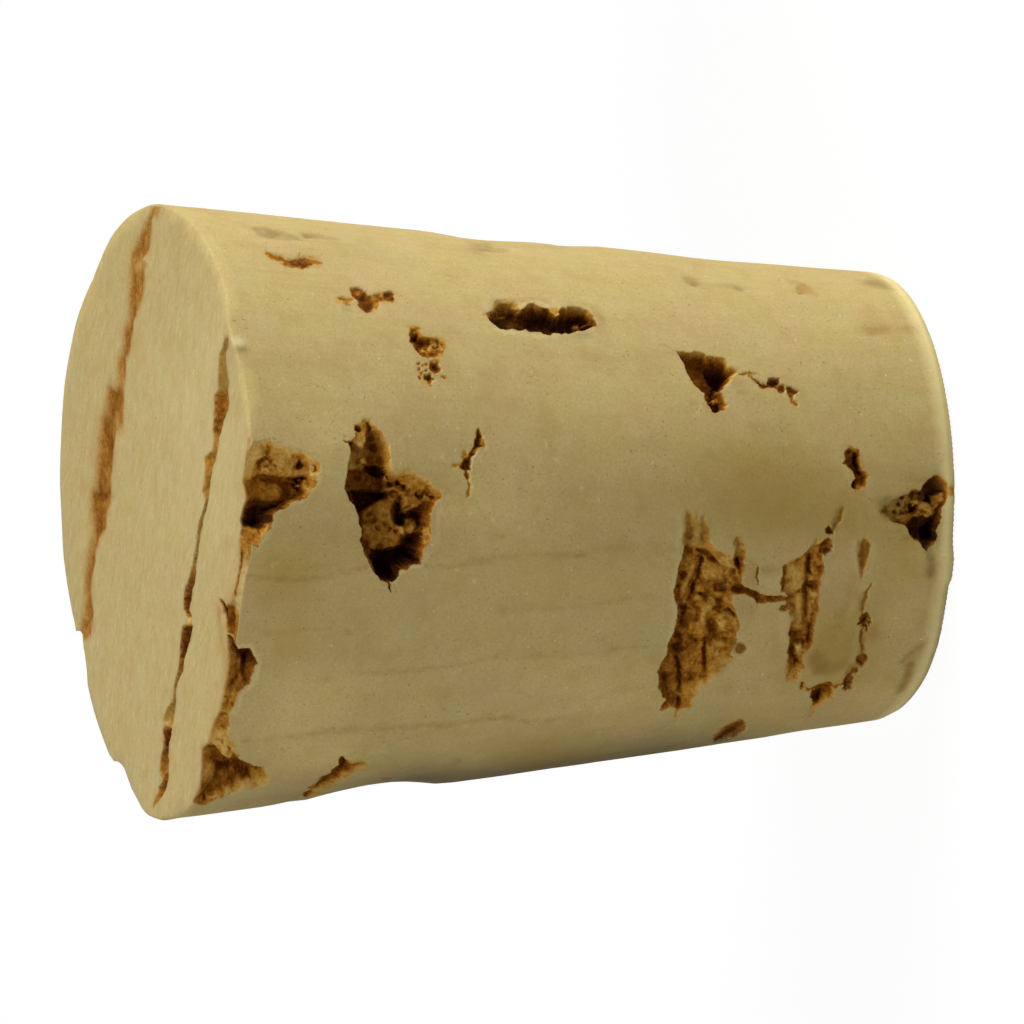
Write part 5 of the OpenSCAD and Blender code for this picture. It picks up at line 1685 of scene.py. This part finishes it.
# ---------------------------------------------------------------- material
class Nodes:
    def __init__(self, tree):
        self.t = tree

    def new(self, kind, **props):
        n = self.t.nodes.new(kind)
        for k, v in props.items():
            setattr(n, k, v)
        return n

    def put(self, socket, value):
        if isinstance(value, bpy.types.NodeSocket):
            self.t.links.new(value, socket)
        elif value is not None:
            socket.default_value = value

    def math(self, op, a, b=None, c=None, clamp=False):
        n = self.new("ShaderNodeMath", operation=op, use_clamp=clamp)
        for k, v in enumerate((a, b, c)):
            if v is not None:
                self.put(n.inputs[k], v)
        return n.outputs[0]

    def attr(self, name):
        return self.new("ShaderNodeAttribute", attribute_type="GEOMETRY", attribute_name=name).outputs["Fac"]

    def noise(self, vector, scale, detail=2.0, rough=0.5, distortion=0.0):
        n = self.new("ShaderNodeTexNoise")
        n.noise_dimensions = "3D"
        self.put(n.inputs["Vector"], vector)
        for k, v in (("Scale", scale), ("Detail", detail), ("Roughness", rough), ("Distortion", distortion)):
            self.put(n.inputs[k], v)
        return n.outputs["Fac"]

    def ramp(self, fac, stops, interpolation="LINEAR"):
        n = self.new("ShaderNodeValToRGB")
        n.color_ramp.interpolation = interpolation
        e = n.color_ramp.elements
        while len(e) > 1:
            e.remove(e[-1])
        for k, (pos, col) in enumerate(stops):
            el = e[0] if k == 0 else e.new(pos)
            el.position = pos
            el.color = (*col, 1) if len(col) == 3 else col
        self.put(n.inputs["Fac"], fac)
        return n.outputs["Color"]

    def mixc(self, fac, a, b, mode="MIX"):
        n = self.new("ShaderNodeMix", data_type="RGBA", blend_type=mode)
        self.put(n.inputs["Factor"], fac)
        ins = [s for s in n.inputs if s.type == "RGBA"]
        self.put(ins[0], a)
        self.put(ins[1], b)
        return [s for s in n.outputs if s.type == "RGBA"][0]

    def span(self, value, a, b, c=0.0, d=1.0, kind="LINEAR"):
        n = self.new("ShaderNodeMapRange", interpolation_type=kind, clamp=True)
        for k, v in zip(("Value", "From Min", "From Max", "To Min", "To Max"), (value, a, b, c, d)):
            self.put(n.inputs[k], v)
        return n.outputs["Result"]


def rgb(r, g, b):
    """An 8-bit colour as the shader's linear colour."""
    return tuple(((c / 255 + 0.055) / 1.055) ** 2.4 if c > 10 else c / 255 / 12.92 for c in (r, g, b)) + (1.0,)


mat = bpy.data.materials.new("cork")
mat.use_nodes = True
tree = mat.node_tree
tree.nodes.clear()
N = Nodes(tree)
out = N.new("ShaderNodeOutputMaterial")
bsdf = N.new("ShaderNodeBsdfPrincipled")
tree.links.new(bsdf.outputs["BSDF"], out.inputs["Surface"])

coord = N.new("ShaderNodeTexCoord").outputs["Object"]
scaled = N.new("ShaderNodeVectorMath", operation="SCALE")      # to mm
N.put(scaled.inputs[0], coord)
scaled.inputs["Scale"].default_value = 1000.0
mm = scaled.outputs["Vector"]
# coordinates turned so that the first runs across the growth layers
turn = N.new("ShaderNodeMapping", vector_type="POINT")
N.put(turn.inputs["Vector"], mm)
turn.inputs["Rotation"].default_value = (0, 0, -math.atan2(0.86, 0.51))
ringv = turn.outputs["Vector"]


def stretched(vector, sx, sy, sz):
    n = N.new("ShaderNodeMapping", vector_type="POINT")
    N.put(n.inputs["Vector"], vector)
    n.inputs["Scale"].default_value = (sx, sy, sz)
    return n.outputs["Vector"]


pit_m, tone, pale, warm, grey, line, lift_m, ochre = (N.attr(k) for k in MASKS)

# skin: soft patches of ochre, brown and grey-green, fine grain, small dark specks
hue = N.noise(stretched(mm, 1, 1, 0.75), 0.50, 3.0, 0.55)
skin = N.ramp(hue, [(0.30, rgb(204, 185, 118)[:3]), (0.45, rgb(206, 185, 122)[:3]), (0.56, rgb(207, 183, 124)[:3]),
                    (0.70, rgb(208, 181, 124)[:3])])
blotch = N.noise(mm, 0.95, 4.0, 0.60)
skin = N.mixc(N.span(blotch, 0.40, 0.72, 0.0, 0.40), skin, rgb(192, 163, 96))
cool = N.noise(stretched(mm, 1.0, 1.0, 1.3), 0.42, 3.0, 0.5)
skin = N.mixc(N.span(cool, 0.54, 0.72, 0.0, 0.35), skin, rgb(196, 184, 136))
streaks = N.noise(stretched(ringv, 2.6, 0.22, 0.16), 1.0, 3.0, 0.6)
skin = N.mixc(N.span(streaks, 0.46, 0.72, 0.0, 0.25), skin, rgb(188, 158, 92))
grain = N.noise(mm, 9.0, 3.0, 0.75)
skin = N.mixc(N.span(grain, 0.45, 0.75, 0.0, 0.40), skin, rgb(172, 142, 82))
skin = N.mixc(N.span(grain, 0.44, 0.28, 0.0, 0.30), skin, rgb(222, 204, 148))
speck = N.noise(mm, 8.5, 1.0, 0.5)
patch_s = N.noise(mm, 0.45, 2.0, 0.5)
skin = N.mixc(N.math("MULTIPLY", N.span(speck, 0.665, 0.74, 0.0, 0.6), N.span(patch_s, 0.42, 0.62, 0.35, 1.0)), skin, rgb(140, 106, 52))
brown = N.noise(stretched(mm, 1.0, 1.0, 1.2), 0.62, 4.0, 0.62)
skin = N.mixc(N.span(brown, 0.52, 0.70, 0.0, 0.45), skin, rgb(190, 158, 98))
fleck = N.noise(mm, 7.5, 0.0, 0.5)
skin = N.mixc(N.span(fleck, 0.82, 0.87, 0.0, 0.6), skin, rgb(232, 222, 184))
# the big end is mottled along its growth layers
normal = N.new("ShaderNodeSeparateXYZ")
N.put(normal.inputs[0], N.new("ShaderNodeNewGeometry").outputs["True Normal"])
on_end = N.span(normal.outputs["Z"], 0.6, 0.9)
mottle = N.noise(stretched(ringv, 1.6, 0.75, 1.0), 1.0, 4.0, 0.65)
skin = N.mixc(N.math("MULTIPLY", on_end, 0.2), skin, rgb(205, 190, 134))
skin = N.mixc(N.math("MULTIPLY", on_end, N.span(mottle, 0.48, 0.72, 0.0, 0.42)), skin, rgb(196, 156, 86))
mottle2 = N.noise(stretched(ringv, 5.0, 1.8, 1.0), 1.0, 2.0, 0.6)
skin = N.mixc(N.math("MULTIPLY", on_end, N.span(mottle2, 0.56, 0.74, 0.0, 0.40)), skin, rgb(180, 142, 80))
skin = N.mixc(N.math("MULTIPLY", on_end, N.span(mottle2, 0.42, 0.26, 0.0, 0.35)), skin, rgb(226, 212, 158))
# marks held in the lattice: mostly stains and lines, but the grey and warm masks also carry painted shade (under the
# nub, in the island) and the pale mask carries painted light on the foot's edge
skin = N.mixc(N.math("MULTIPLY", ochre, 1.0, clamp=True), skin, rgb(200, 160, 60))
skin = N.mixc(N.math("MULTIPLY", line, 0.75, clamp=True), skin, rgb(160, 122, 50))
skin = N.mixc(N.math("MULTIPLY", grey, 0.62, clamp=True), skin, rgb(113, 96, 50))
skin = N.mixc(N.math("MULTIPLY", warm, 0.75, clamp=True), skin, rgb(170, 112, 40))
skin = N.mixc(N.math("MULTIPLY", pale, 0.7, clamp=True), skin, rgb(232, 218, 160))

# inside of pores and breaks: dark brown at the bottom, orange and tan higher up, crumbly
rub = N.noise(mm, 5.2, 5.0, 0.72)
wobble = N.span(rub, 0.3, 0.7, -0.14, 0.14)
tone2 = N.math("ADD", tone, wobble, clamp=True)
lining = N.ramp(tone2, [(0.0, rgb(50, 21, 2)[:3]), (0.12, rgb(76, 37, 4)[:3]), (0.26, rgb(113, 61, 7)[:3]),
                        (0.42, rgb(152, 93, 20)[:3]), (0.58, rgb(184, 127, 42)[:3]), (0.75, rgb(208, 160, 74)[:3]),
                        (1.0, rgb(224, 192, 118)[:3])])
lining = N.mixc(N.math("MULTIPLY", grey, 0.80, clamp=True), lining, rgb(110, 90, 46))
colour = N.mixc(pit_m, skin, lining)
# the lift mask brightens or darkens the colour: partly the cork's own tone, partly painted shade on the underside and
# painted light on the foot's edge and by the small end
shade = N.new("ShaderNodeVectorMath", operation="SCALE")
N.put(shade.inputs[0], colour)
N.put(shade.inputs["Scale"], N.math("ADD", lift_m, 1.0))
tree.links.new(shade.outputs[0], bsdf.inputs["Base Color"])

bump_skin = N.math("ADD", N.math("MULTIPLY", N.noise(mm, 9.0, 3.0, 0.6), 0.6), N.math("MULTIPLY", N.noise(mm, 2.2, 2.0, 0.5), 0.5))
bump_skin = N.math("SUBTRACT", bump_skin, 0.55)
bump_pit = N.math("MULTIPLY", N.math("SUBTRACT", N.noise(mm, 6.0, 4.0, 0.65), 0.5), 5.0)
height = N.new("ShaderNodeMix", data_type="FLOAT")
N.put(height.inputs["Factor"], pit_m)
fl = [s for s in height.inputs if s.type == "VALUE" and s.name in ("A", "B")]
N.put(fl[0], bump_skin)
N.put(fl[1], bump_pit)
bump = N.new("ShaderNodeBump")
bump.inputs["Strength"].default_value = 0.6
bump.inputs["Distance"].default_value = 0.00003
N.put(bump.inputs["Height"], [s for s in height.outputs if s.type == "VALUE"][0])
tree.links.new(bump.outputs["Normal"], bsdf.inputs["Normal"])
tree.links.new(N.span(pit_m, 0.0, 1.0, 0.72, 0.92), bsdf.inputs["Roughness"])
bsdf.inputs["Specular IOR Level"].default_value = 0.10
me.materials.append(mat)

# ---------------------------------------------------------------- floor, light and camera
floor_mesh = bpy.data.meshes.new("floor")
w = 6.0
floor_mesh.from_pydata([(-w, -w, 0), (w, -w, 0), (w, w, 0), (-w, w, 0)], [], [(0, 1, 2, 3)])
floor = bpy.data.objects.new("floor", floor_mesh)
floor.location = (0, 0, -0.00002)
bpy.context.scene.collection.objects.link(floor)
fm = bpy.data.materials.new("floor_paper")
fm.use_nodes = True
FN = Nodes(fm.node_tree)
paper = fm.node_tree.nodes["Principled BSDF"]                  # what the cork gets back from the floor
paper.inputs["Base Color"].default_value = (0.50, 0.50, 0.48, 1)
paper.inputs["Roughness"].default_value = 0.9
paper.inputs["Specular IOR Level"].default_value = 0.1
paper.inputs["Emission Color"].default_value = (1, 1, 1, 1)
paper.inputs["Emission Strength"].default_value = 0.0
bright = FN.new("ShaderNodeBsdfPrincipled")                    # the floor as it is seen: white, with a faint shadow
bright.name = "bright"
bright.inputs["Base Color"].default_value = (0.10, 0.10, 0.10, 1)
bright.inputs["Roughness"].default_value = 0.9
bright.inputs["Specular IOR Level"].default_value = 0.0
bright.inputs["Emission Color"].default_value = (1, 1, 1, 1)
bright.inputs["Emission Strength"].default_value = 0.93
share = FN.new("ShaderNodeMixShader")
FN.put(share.inputs[0], FN.new("ShaderNodeLightPath").outputs["Is Camera Ray"])
fm.node_tree.links.new(paper.outputs["BSDF"], share.inputs[1])
fm.node_tree.links.new(bright.outputs["BSDF"], share.inputs[2])
fm.node_tree.links.new(share.outputs["Shader"], fm.node_tree.nodes["Material Output"].inputs["Surface"])
floor_mesh.materials.append(fm)

world = bpy.data.worlds.new("studio")
world.use_nodes = True
WN = Nodes(world.node_tree)
air = world.node_tree.nodes["Background"]
air.inputs["Color"].default_value = (1, 1, 1, 1)
air.inputs["Strength"].default_value = 0.12
sky = WN.new("ShaderNodeBackground")
sky.inputs["Color"].default_value = (1, 1, 1, 1)
sky.inputs["Strength"].default_value = 1.0
share = WN.new("ShaderNodeMixShader")
WN.put(share.inputs[0], WN.new("ShaderNodeLightPath").outputs["Is Camera Ray"])
world.node_tree.links.new(air.outputs["Background"], share.inputs[1])
world.node_tree.links.new(sky.outputs["Background"], share.inputs[2])
world.node_tree.links.new(share.outputs["Shader"], world.node_tree.nodes["World Output"].inputs["Surface"])
bpy.context.scene.world = world


def area(name, place, aim, size, power, colour=(1, 1, 1)):
    light = bpy.data.lights.new(name, "AREA")
    light.shape = "DISK"
    light.size = size
    light.energy = power
    light.color = colour
    o = bpy.data.objects.new(name, light)
    d = Vector(aim) - Vector(place)
    o.matrix_world = Matrix.Translation(Vector(place)) @ d.to_track_quat("-Z", "Y").to_matrix().to_4x4()
    bpy.context.scene.collection.objects.link(o)
    return o


mid = (0, 0, 0.016)
area("key", (0.4964, 0.0, 0.0756), mid, 0.25, 1.84)
area("upper", (0.3704, -0.0988, 0.337), mid, 0.25, 1.04)
area("lower", (-0.2287, -0.2287, 0.397), mid, 0.25, 1.03)
area("back", (-0.12, 0.48, 0.03), mid, 0.25, 0.8)

cam = bpy.data.cameras.new("camera")
cam.sensor_fit = "HORIZONTAL"
cam.sensor_width = 36.0
cam.lens = FOCAL / 1024 * 36.0
cam.clip_start, cam.clip_end = 0.01, 10.0
cam.dof.use_dof = False
camera = bpy.data.objects.new("camera", cam)
m = Matrix.Identity(4)
for k in range(3):
    m[k][0], m[k][1], m[k][2], m[k][3] = RIGHT[k], UP[k], -FWD[k], EYE[k] * 0.001
camera.matrix_world = m
bpy.context.scene.collection.objects.link(camera)
bpy.context.scene.camera = camera
bpy.context.scene.view_settings.view_transform = "Standard"
